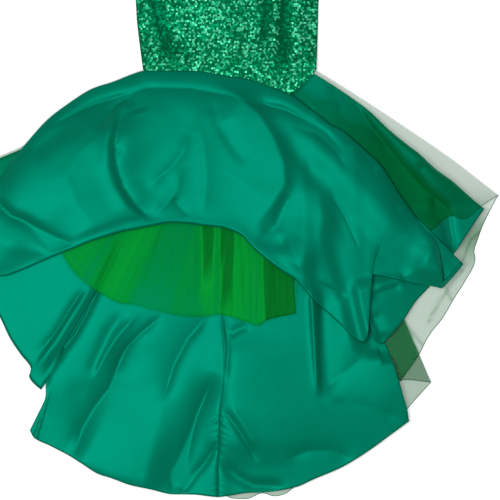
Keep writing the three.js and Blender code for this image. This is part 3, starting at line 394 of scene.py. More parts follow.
# Where the front net lies doubled: u along its seam, share of the full density.
NET_LAYERS = [
    (0.00, 0.44), (0.14, 0.48), (0.17, 0.38), (0.195, 0.20), (0.22, 0.34), (0.26, 0.54), (0.33, 0.58),
    (0.360, 0.46), (0.385, 0.17), (0.45, 0.12), (0.515, 0.12), (0.55, 0.32), (0.57, 0.30), (0.60, 0.20),
    (0.625, 0.32), (0.66, 0.22), (0.695, 0.26), (0.712, 0.56), (0.80, 0.58), (0.825, 0.46), (1.00, 0.42),
]
# (left, right, bottom, layers): where several plies hang on one another, with painted shade under the
# turned-up front's edge, denser and darker towards the top
NET_SHADED_PLIES = [(-51, -26, -500, 0.85), (-20, 7, -500, 0.85), (58, 126, -560, 0.95)]


# -------- small helpers for objects and nodes
def add_object(name, data):
    made = bpy.data.objects.new(name, data)
    scene.collection.objects.link(made)
    return made


def mesh_from(name, bm):
    mesh = bpy.data.meshes.new(name)
    bm.to_mesh(mesh)
    bm.free()
    return mesh


def in_frame(x, y, z):
    """From drafting mm to the frame's metres."""
    return (x + SHIFT[0]) / 1000, (y + SHIFT[1]) / 1000, z / 1000


def new_material(name):
    mat = bpy.data.materials.new(name)
    mat.use_nodes = True
    return mat, mat.node_tree, mat.node_tree.nodes["Principled BSDF"]


def connect(made, inputs):
    """Gives a node's inputs their values. A value that is another node's output is linked."""
    for key, value in inputs.items():
        if isinstance(value, bpy.types.NodeSocket):
            made.id_data.links.new(value, made.inputs[key])
        else:
            made.inputs[key].default_value = value


def add_node(tree, kind, inputs=None, **settings):
    made = tree.nodes.new(kind)
    for key, value in settings.items():
        setattr(made, key, value)
    connect(made, inputs or {})
    return made


def ramp(tree, level, *stops):
    """A colour that runs through the stops, each a position and a colour, as the level rises."""
    made = add_node(tree, "ShaderNodeValToRGB", {"Fac": level})
    elements = made.color_ramp.elements
    for element, (position, colour) in zip(elements, (stops[0], stops[-1])):
        element.position = position
        element.color = (*colour, 1)
    for position, colour in stops[1:-1]:
        elements.new(position).color = (*colour, 1)
    return made.outputs["Color"]


# -------- camera, floor, light
SENSOR = 36
LENS = 300
VIEW_WIDTH = 0.875
VIEW_CENTRE = (35, -315)
FLOOR_HALF = 6
FLOOR_DROP = 0.0004
FLOOR_WHITE = 0.93
FLOOR_GLOW = 0.45
SKY = 0.22
# name, place, aim, size and watts
LIGHTS = [
    ("window", (-0.5, -0.52, 1.9), (-0.15, -0.4, 0), 0.8, 20),
    ("overhead", (0.1, 0.25, 3.0), (0.0, -0.3, 0), 1.3, 13),
]


def make_camera():
    data = bpy.data.cameras.new("camera")
    data.lens = LENS
    data.sensor_width = SENSOR
    data.clip_end = 50
    camera = add_object("camera", data)
    camera.location = (*in_frame(*VIEW_CENTRE, 0)[:2], VIEW_WIDTH * LENS / SENSOR)
    scene.camera = camera
    scene.view_settings.view_transform = "Standard"


def make_floor():
    bm = bmesh.new()
    bmesh.ops.create_grid(bm, x_segments=1, y_segments=1, size=FLOOR_HALF)
    mesh = mesh_from("floor", bm)
    floor = add_object("floor", mesh)
    floor.location = (0, 0, -FLOOR_DROP)
    white, _, shader = new_material("floor_white")
    connect(shader, {
        "Base Color": (FLOOR_WHITE, FLOOR_WHITE, FLOOR_WHITE, 1), "Roughness": 0.9,
        "Emission Color": (1, 1, 1, 1), "Emission Strength": FLOOR_GLOW,
    })
    mesh.materials.append(white)


def make_light():
    world = bpy.data.worlds.new("studio")
    scene.world = world
    world.use_nodes = True
    connect(world.node_tree.nodes["Background"], {"Color": (1, 1, 1, 1), "Strength": SKY})
    for name, place, aim, size, watts in LIGHTS:
        data = bpy.data.lights.new(name, "AREA")
        data.shape = "SQUARE"
        data.size = size
        data.energy = watts
        lamp = add_object(name, data)
        lamp.location = place
        lamp.rotation_mode = "QUATERNION"
        lamp.rotation_quaternion = (Vector(aim) - Vector(place)).to_track_quat("-Z", "Y")


make_camera()
make_floor()
make_light()


# -------- small maths, on arrays
def lerp(a, b, t):
    return a + (b - a) * t


def smooth(start, stop, x):
    t = np.clip((x - start) / (stop - start), 0, 1)
    return t * t * (3 - 2 * t)


def bell(x):
    return np.exp(-(x**2))


def soft_max(a, b, r):
    k = np.clip(0.5 + (a - b) / (2 * r), 0, 1)
    return lerp(b, a, k) + r * k * (1 - k)


def hermite(a, b, slope_a, slope_b, k):
    return (
        a * (2 * k**3 - 3 * k**2 + 1)
        + slope_a * (k**3 - 2 * k**2 + k)
        + b * (3 * k**2 - 2 * k**3)
        + slope_b * (k**3 - k**2)
    )


def held_hermite(a, b, slope_a, slope_b, k, slack):
    """The same with its slopes held back, so that it doesn't swing past its ends."""
    limit = 1.5 * np.abs(b - a) + slack
    return hermite(a, b, np.clip(slope_a, -limit, limit), np.clip(slope_b, -limit, limit), k)


def lengths_along(p):
    return np.concatenate([[0], np.cumsum(np.hypot(*np.diff(p, axis=0).T))])


def by_length(points):
    """A smooth curve through the points, as a function of t from 0 to 1 along its length."""
    p = np.array(points, float)
    at = lengths_along(p)
    at /= at[-1]
    slope = np.gradient(p, at, axis=0) if len(p) > 2 else np.repeat([(p[1] - p[0])], 2, 0)

    def curve(t):
        t = np.clip(t, 0, 1)
        i = np.clip(np.searchsorted(at, t, side="right") - 1, 0, len(at) - 2)
        h = at[i + 1] - at[i]
        k = (t - at[i]) / h
        return [
            held_hermite(p[i, axis], p[i + 1, axis], slope[i, axis] * h, slope[i + 1, axis] * h, k, 1.0)
            for axis in (0, 1)
        ]

    return curve


def by_height(at, values, y):
    """A smooth curve through a table's values at the heights."""
    slope = np.gradient(values, at)
    i = np.clip(np.searchsorted(at, y, side="right") - 1, 0, len(at) - 2)
    h = at[i + 1] - at[i]
    k = np.clip((y - at[i]) / h, 0, 1)
    return hermite(values[i], values[i + 1], slope[i] * h, slope[i + 1] * h, k)


def coons(top, bottom, start, end):
    """Fills the space between four edges. top and bottom run with u, start and end with v."""
    t, b, s, e = (by_length(edge) for edge in (top, bottom, start, end))

    def place(u, v):
        zero, one = np.zeros_like(u), np.ones_like(u)
        tu, bu, sv, ev = t(u), b(u), s(v), e(v)
        c00, c10, c01, c11 = t(zero), t(one), b(zero), b(one)
        return [
            lerp(tu[k], bu[k], v)
            + lerp(sv[k], ev[k], u)
            - lerp(lerp(c00[k], c10[k], u), lerp(c01[k], c11[k], u), v)
            for k in (0, 1)
        ]

    return place


def along_line(line, x, y):
    """Signed distance from a polyline, positive on its left, and how far along it the nearest point is."""
    p = np.array(line, float)
    at = lengths_along(p)
    best = np.full(np.shape(x), 1e9)
    side = np.ones(np.shape(x))
    where = np.zeros(np.shape(x))
    for i in range(len(p) - 1):
        dx, dy = p[i + 1] - p[i]
        long2 = dx * dx + dy * dy
        k = np.clip(((x - p[i][0]) * dx + (y - p[i][1]) * dy) / long2, 0, 1)
        d = np.hypot(x - p[i][0] - k * dx, y - p[i][1] - k * dy)
        near = d < best
        best = np.where(near, d, best)
        side = np.where(near, np.sign(dx * (y - p[i][1]) - dy * (x - p[i][0]) + 1e-9), side)
        where = np.where(near, (at[i] + k * math.sqrt(long2)) / at[-1], where)
    return best * side, where


def side_of(line, x, y):
    return along_line(line, x, y)[0]


def relief(folds, x, y):
    """The creases' rise. Each fades over the first and last fifth of its line."""
    z = np.zeros(np.shape(x))
    for kind, rise, left, right, line in folds:
        d, t = along_line(line, x, y)
        soft = np.where(d > 0, left, right)
        ends = smooth(-0.02, 0.22, t) * smooth(-0.02, 0.22, 1 - t)
        if kind == CRISP:
            shape = np.exp(-1.4 * (np.hypot(d, CREASE_ROUND) - CREASE_ROUND) / soft)
        else:
            shape = bell(d / soft)
        z = z + rise * shape * ends
    return z


# -------- heights of the layers
def knee_seam(drop):
    return lambda x: -drop * (1 - (x / KNEE_HALF) ** 2)


front_seam_y = knee_seam(FRONT_SEAM_DROP)
back_seam_y = knee_seam(BACK_SEAM_DROP)


def inside_fold(x, y):
    """How far in from the fold at the side of the skirt, on either side."""
    return np.where(x > 0, -side_of(SIDE_RIGHT_FOLD, x, y), side_of(SIDE_LEFT_FOLD, x, y))


def over_mesh_right(x, y):
    return 1 - smooth(6, 80, side_of(MESH_BACK_FOLD, x, y))


def over_mesh_left(x, y):
    return 1 - smooth(0, 60, -side_of(MESH_BACK_LEFT, x, y))


def mesh_right_low(x, y):
    wrinkles = soft_max(relief(MESH_CREASES, x, y), 0, 0.3)
    return MESH_LOW + MESH_STEP_RIGHT * over_mesh_right(x, y) + wrinkles


def mesh_left_low(x, y):
    return MESH_LOW + MESH_STEP_LEFT * over_mesh_left(x, y)


def back_base(x, y):
    right = smooth(-80, -8, side_of(MESH_RIGHT_INNER, x, y))
    left = smooth(-80, -8, -side_of(MESH_LEFT_INNER, x, y))
    return BACK_LOW + np.where(x > 0, BACK_STEP_RIGHT * right, BACK_STEP_LEFT * left * over_mesh_left(x, y))


def under_net(x, y):
    return (1 - smooth(448, 485, np.hypot(x, y))) * (1 - smooth(125, 155, x))


def open_back(x, y):
    """The share of its folds that the back has: none at the knee or under the right side."""
    side = smooth(-45, -8, side_of(SIDE_RIGHT_INNER, x, y)) * smooth(-520, -488, y)
    return smooth(250, 400, np.hypot(x, y)) * (1 - side)


def back_height(x, y):
    loft = BACK_LOFT * (1 - 0.5 * smooth(600, 740, np.hypot(x, y)))
    folds = soft_max(relief(BACK_CREASES, x, y) + loft, 0, FOLD_BLEND)
    return back_base(x, y) + folds * open_back(x, y)


def side_low(x, y):
    folds = soft_max(relief(SIDE_CREASES, x, y) + SIDE_LOFT, 0, FOLD_BLEND)
    right = SIDE_LOW + SIDE_STEP * over_mesh_right(x, y) + folds
    return np.where(x > 0, right, back_height(x, y))


def wing_height(x, y):
    loft = WING_LOFT + WING_BULGE * smooth(30, 170, np.hypot(np.abs(x) - KNEE_HALF, y))
    folds = soft_max(relief(WING_CREASES, x, y), WING_LEAST - loft, FOLD_BLEND)
    return side_low(x, y) + loft + folds


def mesh_over(x, y):
    on_wing = wing_height(x, y) + MESH_OVER_GAP
    return lerp(MESH_FOLD_HEIGHT, on_wing, smooth(-42, -9, inside_fold(x, y)))


def front_low(x, y):
    net = back_height(x, y) + NET_GAP + NET_DEPTH * under_net(x, y)
    on_side = np.where(x > 0, smooth(-60, -6, side_of(SIDE_RIGHT_INNER, x, y)), 0)
    ply = lerp(net, side_low(x, y) + SIDE_GAP, on_side)
    wing = np.where(
        x > 0,
        smooth(-70, -8, side_of(WING_RIGHT_INNER, x, y)),
        smooth(-70, -8, -side_of(WING_LEFT_INNER, x, y)),
    )
    return lerp(ply, mesh_over(x, y) + WING_GAP, wing)


def sheath_front(x, y):
    """Rounded over the back panel, and standing up over the skirt's gathers at the knee seam."""
    s = np.clip(np.abs(x) / (KNEE_HALF + 0.1 * np.maximum(0, y)), 0, 1)
    folds = relief(SHEATH_CREASES, x, y)
    lying = SHEATH_LOW + SHEATH_LOFT * (1 - s**3) + folds * (1 - s**4)
    lies = smooth(-4, 70, y)
    return lerp(KNEE_STAND, lying, lies) + 0.35 * folds * (1 - lies)


# -------- building cloth
def grid_mesh(name, across, along):
    """A unit grid; its vertices are (u, v)."""
    bm = bmesh.new()
    bmesh.ops.create_grid(bm, x_segments=across, y_segments=along, size=0.5)
    bmesh.ops.translate(bm, verts=bm.verts, vec=(0.5, 0.5, 0))
    uv = bm.loops.layers.uv.new("cloth")
    for face in bm.faces:
        for loop in face.loops:
            loop[uv].uv = loop.vert.co.xy
    return mesh_from(name, bm)


def cloth(name, across, along, place, thickness, material, node, mask=None):
    """A thin shell whose middle is place(u, v) in drafting mm."""
    mesh = grid_mesh(name, across, along)
    co = np.empty(len(mesh.vertices) * 3)
    mesh.vertices.foreach_get("co", co)
    u, v = co[0::3].copy(), co[1::3].copy()
    x, y, z = place(u, v)
    co[0::3], co[1::3], co[2::3] = in_frame(x, y, z)
    mesh.vertices.foreach_set("co", co)
    mesh.polygons.foreach_set("use_smooth", [True] * len(mesh.polygons))
    if mask:
        layers = mesh.attributes.new("layers", "FLOAT", "POINT")
        layers.data.foreach_set("value", np.clip(mask(u, v, x, y), 0, 1).astype(np.float32))
    mesh.update()
    piece = add_object(name, mesh)
    mesh.materials.append(material)
    shell = piece.modifiers.new("thickness", "SOLIDIFY")
    shell.thickness = thickness / 1000
    shell.offset = 0
    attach(piece, "root")
    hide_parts(node)
    return piece


def flat_place(xy, height):
    def place(u, v):
        x, y = xy(u, v)
        return x, y, height(x, y, u, v)

    return place


def folded_place(low, up, z_low, z_up, low_share, roll_share, flat=1.0):
    """Across w: the under ply, a roll at the fold (half round, or flatter), then the upper ply."""

    def place(s, w):
        one, zero = np.ones_like(s), np.zeros_like(s)
        fx, fy = low(s, one)
        radius = (z_up(fx, fy, s, zero) - z_low(fx, fy)) / 2

        def roll_width(path):
            a, b = path(s, zero), path(s, one)
            return np.minimum(0.45, flat * radius / np.hypot(a[0] - b[0], a[1] - b[1]))

        in_low, in_up = roll_width(low), roll_width(up)
        ux, uy = up(s, in_up)
        zl, zu = z_low(*low(s, 1 - in_low)), z_up(ux, uy, s, in_up)
        # under ply
        ax, ay = low(s, (1 - in_low) * np.clip(w / low_share, 0, 1))
        az = z_low(ax, ay)
        # roll
        turn = math.pi * (np.clip((w - low_share) / roll_share, 0, 1) - 0.5)
        q = 1 - np.cos(turn)
        bx, by = (np.where(turn < 0, a, b) for a, b in zip(low(s, 1 - in_low * q), up(s, in_up * q)))
        bz = (zl + zu) / 2 + (zu - zl) / 2 * np.sin(turn)
        # upper ply
        t = np.clip((w - low_share - roll_share) / (1 - low_share - roll_share), 0, 1)
        u1 = in_up + (1 - in_up) * t
        cx, cy = up(s, u1)
        cz = z_up(cx, cy, s, u1)
        under, over = w < low_share, w > low_share + roll_share
        plies = (ax, bx, cx), (ay, by, cy), (az, bz, cz)
        return [np.where(under, a, np.where(over, c, b)) for a, b, c in plies]

    return place


def side_place(under, over, z_under, z_over, low_share, roll_share):
    """A piece folded at the side of the skirt: v runs down it, u across both plies."""
    fold = folded_place(
        lambda s, u: under(u, s), lambda s, u: over(u, s),
        z_under, lambda x, y, s, u: z_over(x, y), low_share, roll_share,
    )
    return lambda u, v: fold(v, u)


# -------- materials
CLOTH_INPUTS = {"Weave Scale": 2200.0, "Weave Height": 0.03, "Wrinkle Scale": 22.0, "Wrinkle Height": 0.8}


def make_cloth_surface():
    """Fine weave and soft handling wrinkles: a height in mm and a mottle mask."""
    tree = bpy.data.node_groups.new("cloth_surface", "ShaderNodeTree")
    socket = tree.interface.new_socket
    socket("Vector", in_out="INPUT", socket_type="NodeSocketVector")
    for label, value in CLOTH_INPUTS.items():
        socket(label, in_out="INPUT", socket_type="NodeSocketFloat").default_value = value
    for label in ("Height", "Mottle"):
        socket(label, in_out="OUTPUT", socket_type="NodeSocketFloat")
    given, out = tree.nodes.new("NodeGroupInput").outputs, tree.nodes.new("NodeGroupOutput")

    def threads(way):
        inputs = {"Distortion": 0.4, "Vector": given["Vector"], "Scale": given["Weave Scale"]}
        wave = add_node(tree, "ShaderNodeTexWave", inputs, wave_type="BANDS", bands_direction=way)
        return wave.outputs["Fac"]

    def noise(**inputs):
        made = add_node(tree, "ShaderNodeTexNoise", {"Vector": given["Vector"], **inputs})
        return made.outputs["Fac"]

    def math_node(operation, a, b):
        return add_node(tree, "ShaderNodeMath", {0: a, 1: b}, operation=operation).outputs[0]

    weave = math_node("MULTIPLY", math_node("MULTIPLY", threads("X"), threads("Y")), given["Weave Height"])
    wrinkle = noise(Scale=given["Wrinkle Scale"], Detail=2.0, Roughness=0.45, Distortion=0.6)
    wrinkle = math_node("MULTIPLY", wrinkle, given["Wrinkle Height"])
    connect(out, {
        "Height": math_node("ADD", weave, wrinkle),
        "Mottle": noise(Scale=9.0, Detail=3.0, Roughness=0.6),
    })
    return tree


CLOTH_SURFACE = make_cloth_surface()


def cloth_material(name, low, high, roughness, sheen=0.0, wrinkle=0.8, weave=0.03, metal=0.0):
    mat, tree, shader = new_material(name)
    place = add_node(tree, "ShaderNodeTexCoord")
    surface = add_node(
        tree, "ShaderNodeGroup",
        {"Vector": place.outputs["Object"], "Weave Height": weave, "Wrinkle Height": wrinkle},
        node_tree=CLOTH_SURFACE,
    ).outputs
    bump = add_node(tree, "ShaderNodeBump", {"Strength": 1.0, "Distance": 0.001, "Height": surface["Height"]})
    connect(shader, {
        "Base Color": ramp(tree, surface["Mottle"], (0.3, low), (0.7, high)),
        "Normal": bump.outputs["Normal"],
        "Roughness": roughness,
        "Sheen Weight": sheen,
        "Sheen Roughness": 0.4,
        "Metallic": metal,
        "Specular IOR Level": 0.4,
        "Specular Tint": (0.0, 0.85, 0.8, 1),
    })
    return mat, tree, shader


def layered_material(name, thin, full, deep_shade, thin_alpha, full_alpha, roughness):
    """See-through cloth whose layers attribute tells how much of it lies doubled; on the net it also carries
    painted shade, and the ramp's last colour is then a painted-shade deep green.
    """
    mat, tree, shader = cloth_material(name, thin, full, roughness, wrinkle=0.3, weave=0.0)
    layers = add_node(tree, "ShaderNodeAttribute", attribute_name="layers", attribute_type="GEOMETRY")
    layers = layers.outputs["Fac"]
    level = add_node(tree, "ShaderNodeMapRange", {"Value": layers, "To Min": thin_alpha, "To Max": full_alpha})
    connect(shader, {
        "Base Color": ramp(tree, layers, (0, thin), (0.7, full), (1, deep_shade)),
        "Alpha": level.outputs["Result"],
    })
    return mat


def sequin_material():
    """Glossy foil discs. Their colour differs at random from one disc to the next; the upper, mint colours are
    painted glints, and discs in the sheath's valleys are painted darker as shade.
    """
    mat, tree, shader = new_material("sequin")
    own = add_node(tree, "ShaderNodeAttribute", attribute_name="disc", attribute_type="GEOMETRY")
    # Disc colour: the two lower stops are the discs' own greens; the two upper, mint stops are painted glints.
    connect(shader, {
        "Base Color": ramp(
            tree, own.outputs["Fac"],
            (0, (0.0, 0.12, 0.04)), (0.60, (0.0, 0.17, 0.05)),
            (0.76, (0.01, 0.38, 0.15)), (1, (0.10, 0.68, 0.36)),
        ),
        "Metallic": 0.3,
        "Roughness": 0.35,
        "Specular Tint": (0.0, 1.0, 0.6, 1),
    })
    return mat


SATIN, *_ = cloth_material(
    "satin", (0.0, 0.205, 0.11), (0.0, 0.225, 0.125), 0.46, wrinkle=0.4, weave=0.015, metal=0.25
)
# The net's last colour, a deep green, is painted shade where the net lies under the turned-up front's edge.
NET = layered_material("net", (0.0, 0.48, 0.05), (0.003, 0.48, 0.035), (0.002, 0.19, 0.006), 0.07, 0.95, 0.75)
MESH = layered_material(
    "sheer_mesh", (0.0, 0.24, 0.05), (0.0, 0.205, 0.036), (0.0, 0.205, 0.036), 0.04, 0.60, 0.7
)
HEM_THREAD, *_ = cloth_material("rolled_hem", (0.002, 0.12, 0.045), (0.004, 0.17, 0.07), 0.6, 0.1, wrinkle=0.0)
GROUND, *_ = cloth_material("sequin_ground", (0.0, 0.09, 0.03), (0.002, 0.12, 0.045), 0.7, 0.1, wrinkle=0.3)
ELASTIC, *_ = cloth_material("elastic", (0.0, 0.09, 0.035), (0.002, 0.13, 0.05), 0.65, 0.15, wrinkle=0.2)
SEQUIN = sequin_material()


# -------- sheath
def sheath_edges(y):
    rows = np.array(SHEATH_WIDTHS, float)
    return by_height(rows[:, 0], rows[:, 1], y), by_height(rows[:, 0], rows[:, 2], y)


def sheath_xy(seam_y):
    def xy(u, v):
        left, right = sheath_edges(v * SHEATH_TOP)
        bottom = seam_y(lerp(-KNEE_HALF, KNEE_RIGHT, u))
        return lerp(left, right, u), lerp(bottom, SHEATH_TOP, v)

    return xy


def make_sequins():
    """Overlapping sewn discs over the front panel, each tipped a little its own way."""
    tall = SHEATH_TOP + FRONT_SEAM_DROP
    across, along = int(SEQUIN_FIELD / SEQUIN_ACROSS), int(tall / SEQUIN_ALONG)
    bm = bmesh.new()
    bmesh.ops.create_grid(bm, x_segments=across, y_segments=along, size=0.5)
    bmesh.ops.split_edges(bm, edges=bm.edges)
    bmesh.ops.scale(bm, verts=bm.verts, vec=(across * SEQUIN_ACROSS, along * SEQUIN_ALONG, 1))
    x, y = np.array([face.calc_center_median()[:2] for face in bm.faces]).T
    row = np.round((y + tall) / SEQUIN_ALONG).astype(int)
    x = x + 0.5 * SEQUIN_ACROSS * (row % 2)
    y = y + (SHEATH_TOP - tall / 2 - 2)

    # only the discs that lie whole on the panel stay
    left, right = sheath_edges(np.maximum(y, 0))
    inside = (x > left + SEQUIN_SIDE_CLEAR) & (x < right - SEQUIN_SIDE_CLEAR)
    inside &= (y < SHEATH_TOP - SEQUIN_END_CLEAR) & (y > np.minimum(front_seam_y(x), 0) + SEQUIN_END_CLEAR)
    bare = [face for face, sewn in zip(list(bm.faces), inside) if not sewn]
    bmesh.ops.delete(bm, geom=bare, context="FACES")
    x, y = x[inside], y[inside]
    count = len(x)

    rng = np.random.default_rng(7)
    tip = rng.normal(0, SEQUIN_TIP, (count, 2))
    spin = rng.uniform(0, math.pi / 4, count)
    # Painted shade and glints: each disc's random tone is scaled by the sheath's creases, so discs in the
    # valleys take darker colours and those on the ridges more often the mint glint colours.
    folds = np.clip(1.04 + 0.24 * relief(SHEATH_CREASES, x, y), 0.25, 1.15)
    tone_glint_and_shade = np.clip(rng.uniform(0, 1, count) * folds, 0, 1)
    x = x + rng.normal(0, SEQUIN_STRAY, count)
    y = y + rng.normal(0, SEQUIN_STRAY, count)
    z = sheath_front(x, y) + SEQUIN_LIFT + rng.uniform(0, 0.5, count)
    step = 2.0
    slope_x = (sheath_front(x + step, y) - sheath_front(x - step, y)) / (2 * step) + tip[:, 0]
    slope_y = (sheath_front(x, y + step) - sheath_front(x, y - step)) / (2 * step) + tip[:, 1]

    # squares, made eight-sided by cutting their corners
    disc = bm.faces.layers.float.new("disc")
    bm.faces.ensure_lookup_table()
    for i, face in enumerate(bm.faces):
        face[disc] = tone_glint_and_shade[i]
        for k, vert in enumerate(face.verts):
            angle = spin[i] + (k + 0.5) * math.pi / 2
            px, py = SEQUIN_CORNER * math.cos(angle), SEQUIN_CORNER * math.sin(angle)
            vert.co = in_frame(x[i] + px, y[i] + py, z[i] + slope_x[i] * px + slope_y[i] * py)
    bmesh.ops.bevel(
        bm, geom=bm.verts, offset=SEQUIN_CUT / 1000, segments=1, profile=0.5, affect="VERTICES", material=-1
    )
    mesh = mesh_from("sequins", bm)
    mesh.materials.append(SEQUIN)
    piece = add_object("sequins", mesh)
    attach(piece, "root")
    return piece


def make_sheath():
    back = cloth(
        "sheath_back", 40, 90,
        flat_place(sheath_xy(back_seam_y), lambda x, y, u, v: 0.75 + 0 * x),
        0.9, GROUND, "sequin_back",
    )
    front = cloth(
        "sheath_front", 80, 150,
        flat_place(sheath_xy(front_seam_y), lambda x, y, u, v: sheath_front(x, y)),
        0.8, GROUND, "sequin_front",
    )
    sequins = make_sequins()


def make_band():
    def xy(u, v):
        left, right = sheath_edges(np.array([float(SHEATH_TOP)]))
        return lerp(left[0], right[0], u), SHEATH_TOP + SEAM_GAP + v * BAND_HEIGHT

    def shirring(x, v):
        return 0.35 * np.sin(x * 1.05) * np.sin(math.pi * v)

    def over(x, y, u, v):
        return BAND_LIFT + sheath_front(x, SHEATH_TOP + 0 * x) + shirring(x, v)

    back = cloth(
        "band_back_strip", 160, 6, flat_place(xy, lambda x, y, u, v: 1 + shirring(x, v) * 0.5),
        1.2, ELASTIC, "band_back",
    )
    front = cloth("band_front_strip", 240, 6, flat_place(xy, over), 1.4, ELASTIC, "band_front")


# -------- skirt
def pucker(x, y):
    """Pulled stitches along the centre-back seam."""
    d = side_of(BACK_SEAM, x, y)
    away = np.abs(d)
    along = (y + 0.5 * away) / PUCKER_PITCH + 0.5 * np.sin(y / 23.0) + 0.3 * np.sin(y / 9.3)
    stitch = -1.3 * bell(away / 2.2)
    pulls = (0.8 + 0.6 * np.sin(y / 31 + 2)) * np.sin(math.tau * along + 0.9 * np.sign(d))
    swell = 1.2 * bell((away - 9) / 12.0)
    return (stitch + pulls * bell((away - 5) / 8.0) + swell) * smooth(540, 620, -y)


def back_surface(x, y, u, v):
    z = back_height(x, y) + np.maximum(pucker(x, y), -1.0) * open_back(x, y)
    return np.maximum(z, BACK_LEAST)


def make_satin_back():
    left = coons(BACK_LEFT_TOP, BACK_LEFT_HEM, BACK_LEFT_SIDE, BACK_SEAM_LEFT)
    right = coons(BACK_RIGHT_TOP, BACK_RIGHT_HEM, BACK_SEAM_RIGHT, BACK_RIGHT_SIDE)
    one = cloth(
        "back_left_satin", 130, 200, flat_place(left, back_surface), 0.5, SATIN, "satin_back_left"
    )
    two = cloth(
        "back_right_satin", 120, 200, flat_place(right, back_surface), 0.5, SATIN, "satin_back_right"
    )


def make_satin_sides():
    right = side_place(
        coons(SIDE_RIGHT_TOP, SIDE_RIGHT_HEM, SIDE_RIGHT_INNER, SIDE_RIGHT_FOLD),
        coons(WING_RIGHT_TOP, WING_RIGHT_HEM, SIDE_RIGHT_FOLD, WING_RIGHT_INNER),
        side_low, wing_height, 0.55, 0.08,
    )
    left = side_place(
        coons(SIDE_LEFT_TOP, SIDE_LEFT_HEM, SIDE_LEFT_INNER, SIDE_LEFT_FOLD),
        coons(WING_LEFT_TOP, WING_LEFT_HEM, SIDE_LEFT_FOLD, WING_LEFT_INNER),
        side_low, wing_height, 0.62, 0.07,
    )
    one = cloth("side_right_satin", 130, 120, right, 0.5, SATIN, "satin_side_right")
    two = cloth("side_left_satin", 100, 90, left, 0.5, SATIN, "satin_side_left")


def rolled_hem(name, sheet_place, count):
    """A thin rolled edge that follows the hem of a sheet."""
    curve = bpy.data.curves.new(name, "CURVE")
    curve.dimensions = "3D"
    curve.bevel_depth = HEM_RADIUS / 1000
    curve.bevel_resolution = 1
    curve.use_fill_caps = True
    line = curve.splines.new("POLY")
    line.points.add(count - 1)
    hem = in_frame(*sheet_place(np.linspace(0, 1, count), np.ones(count)))
    for point, place in zip(line.points, zip(*hem)):
        point.co = (*place, 1)
    curve.materials.append(HEM_THREAD)
    piece = add_object(name, curve)
    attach(piece, "root")
    return piece


def mesh_density(u, v, x, y):
    """Dense where plies of mesh lie gathered on the satin, thin where one ply shows alone."""
    on = inside_fold(x, y)
    clear = 0.13 + 0.22 * smooth(235, 290, -y) + 0.4 * bell((y + 285) / 45) * smooth(380, 410, x)
    clear += 0.22 * sum(bell(side_of(line, x, y) / 2.5) for *_, line in MESH_CREASES)
    clear += 0.6 * smooth(425, 440, -y) * smooth(-2, 2, -side_of(MESH_BACK_FOLD, x, y)) * (x > 0)
    d, t = along_line(GATHER_LINE, x, y)
    gathered = 0.5 * bell(d / np.where(d > 0, 9, 34)) * smooth(0.1, 0.6, t) * (x > 0)
    dense = gathered + 0.26 + 0.26 * smooth(150, 330, np.hypot(x, y)) - 0.22 * (1 - smooth(20, 44, on))
    return np.where(u > 0.62, lerp(clear, dense, smooth(0, 3, on)), clear)


def make_mesh_layers():
    back = side_place(
        coons(MESH_BACK_TOP, MESH_BACK_HEM, MESH_BACK_LEFT, MESH_BACK_FOLD),
        coons(MESH_FLAP_TOP, MESH_FLAP_HEM, MESH_BACK_FOLD, MESH_FLAP_INNER),
        lambda x, y: 0.6 + 0 * x, lambda x, y: 2.6 + 0 * x, 0.84, 0.06,
    )
    right = side_place(
        coons(MESH_RIGHT_TOP, MESH_RIGHT_HEM, MESH_RIGHT_INNER, MESH_RIGHT_FOLD),
        coons(MESH_OVER_RIGHT_TOP, MESH_OVER_RIGHT_HEM, MESH_RIGHT_FOLD, MESH_OVER_RIGHT_INNER),
        mesh_right_low, mesh_over, 0.58, 0.06,
    )
    left = side_place(
        coons(MESH_LEFT_TOP, MESH_LEFT_HEM, MESH_LEFT_INNER, MESH_LEFT_FOLD),
        coons(MESH_OVER_LEFT_TOP, MESH_OVER_LEFT_HEM, MESH_LEFT_FOLD, MESH_OVER_LEFT_INNER),
        mesh_left_low, mesh_over, 0.66, 0.06,
    )
    one = cloth(
        "back_mesh", 100, 60, back, 0.2, MESH, "mesh_back", mask=lambda u, v, x, y: 0.45 + 0 * u
    )
    two = cloth("right_mesh", 140, 100, right, 0.2, MESH, "mesh_side_right", mask=mesh_density)
    three = cloth("left_mesh", 90, 70, left, 0.2, MESH, "mesh_side_left", mask=mesh_density)
    hems = [
        rolled_hem("back_mesh_hem", back, 200),
        rolled_hem("right_mesh_hem", right, 200),
        rolled_hem("left_mesh_hem", left, 120),
    ]


def net_gathers(u, v, seed):
    """Uneven gathers: they start fine at the seam and open toward the hem."""
    wave = np.sin(math.tau * (31 * u + 0.7 * np.sin(9 * u + seed)))
    slow = np.sin(math.tau * (9 * u + 0.4 * np.sin(5 * u + 2 * seed)) + 1.3 * v)
    return (0.30 * wave + 0.35 * slow) * smooth(0, 0.25, v)


def net_streaks(u, v, x, y):
    """How much of the front net lies doubled: broad bands, fine gathers, and the places with more plies, which
    also carry painted shade under the turned-up front's edge, growing towards the top.
    """
    at = np.array(NET_LAYERS)
    band = np.interp(u, at[:, 0], at[:, 1])
    fine = np.sin(math.tau * (83 * u + 2.1 * np.sin(13 * u))) * np.sin(math.tau * (37 * u + 0.5))
    broad = np.sin(math.tau * (19 * u + 1.7 * np.sin(7 * u)) + 1.5 * v)
    # Painted shade: more plies and the deep colour under the turned-up front's edge.
    deep_shade = sum(
        more * smooth(left - 5, left + 7, x) * smooth(-5 - right, 7 - right, -x) * smooth(low, low + 230, y)
        for left, right, low, more in NET_SHADED_PLIES
    )
    return band * (1 + 0.14 * fine + 0.12 * broad) + deep_shade


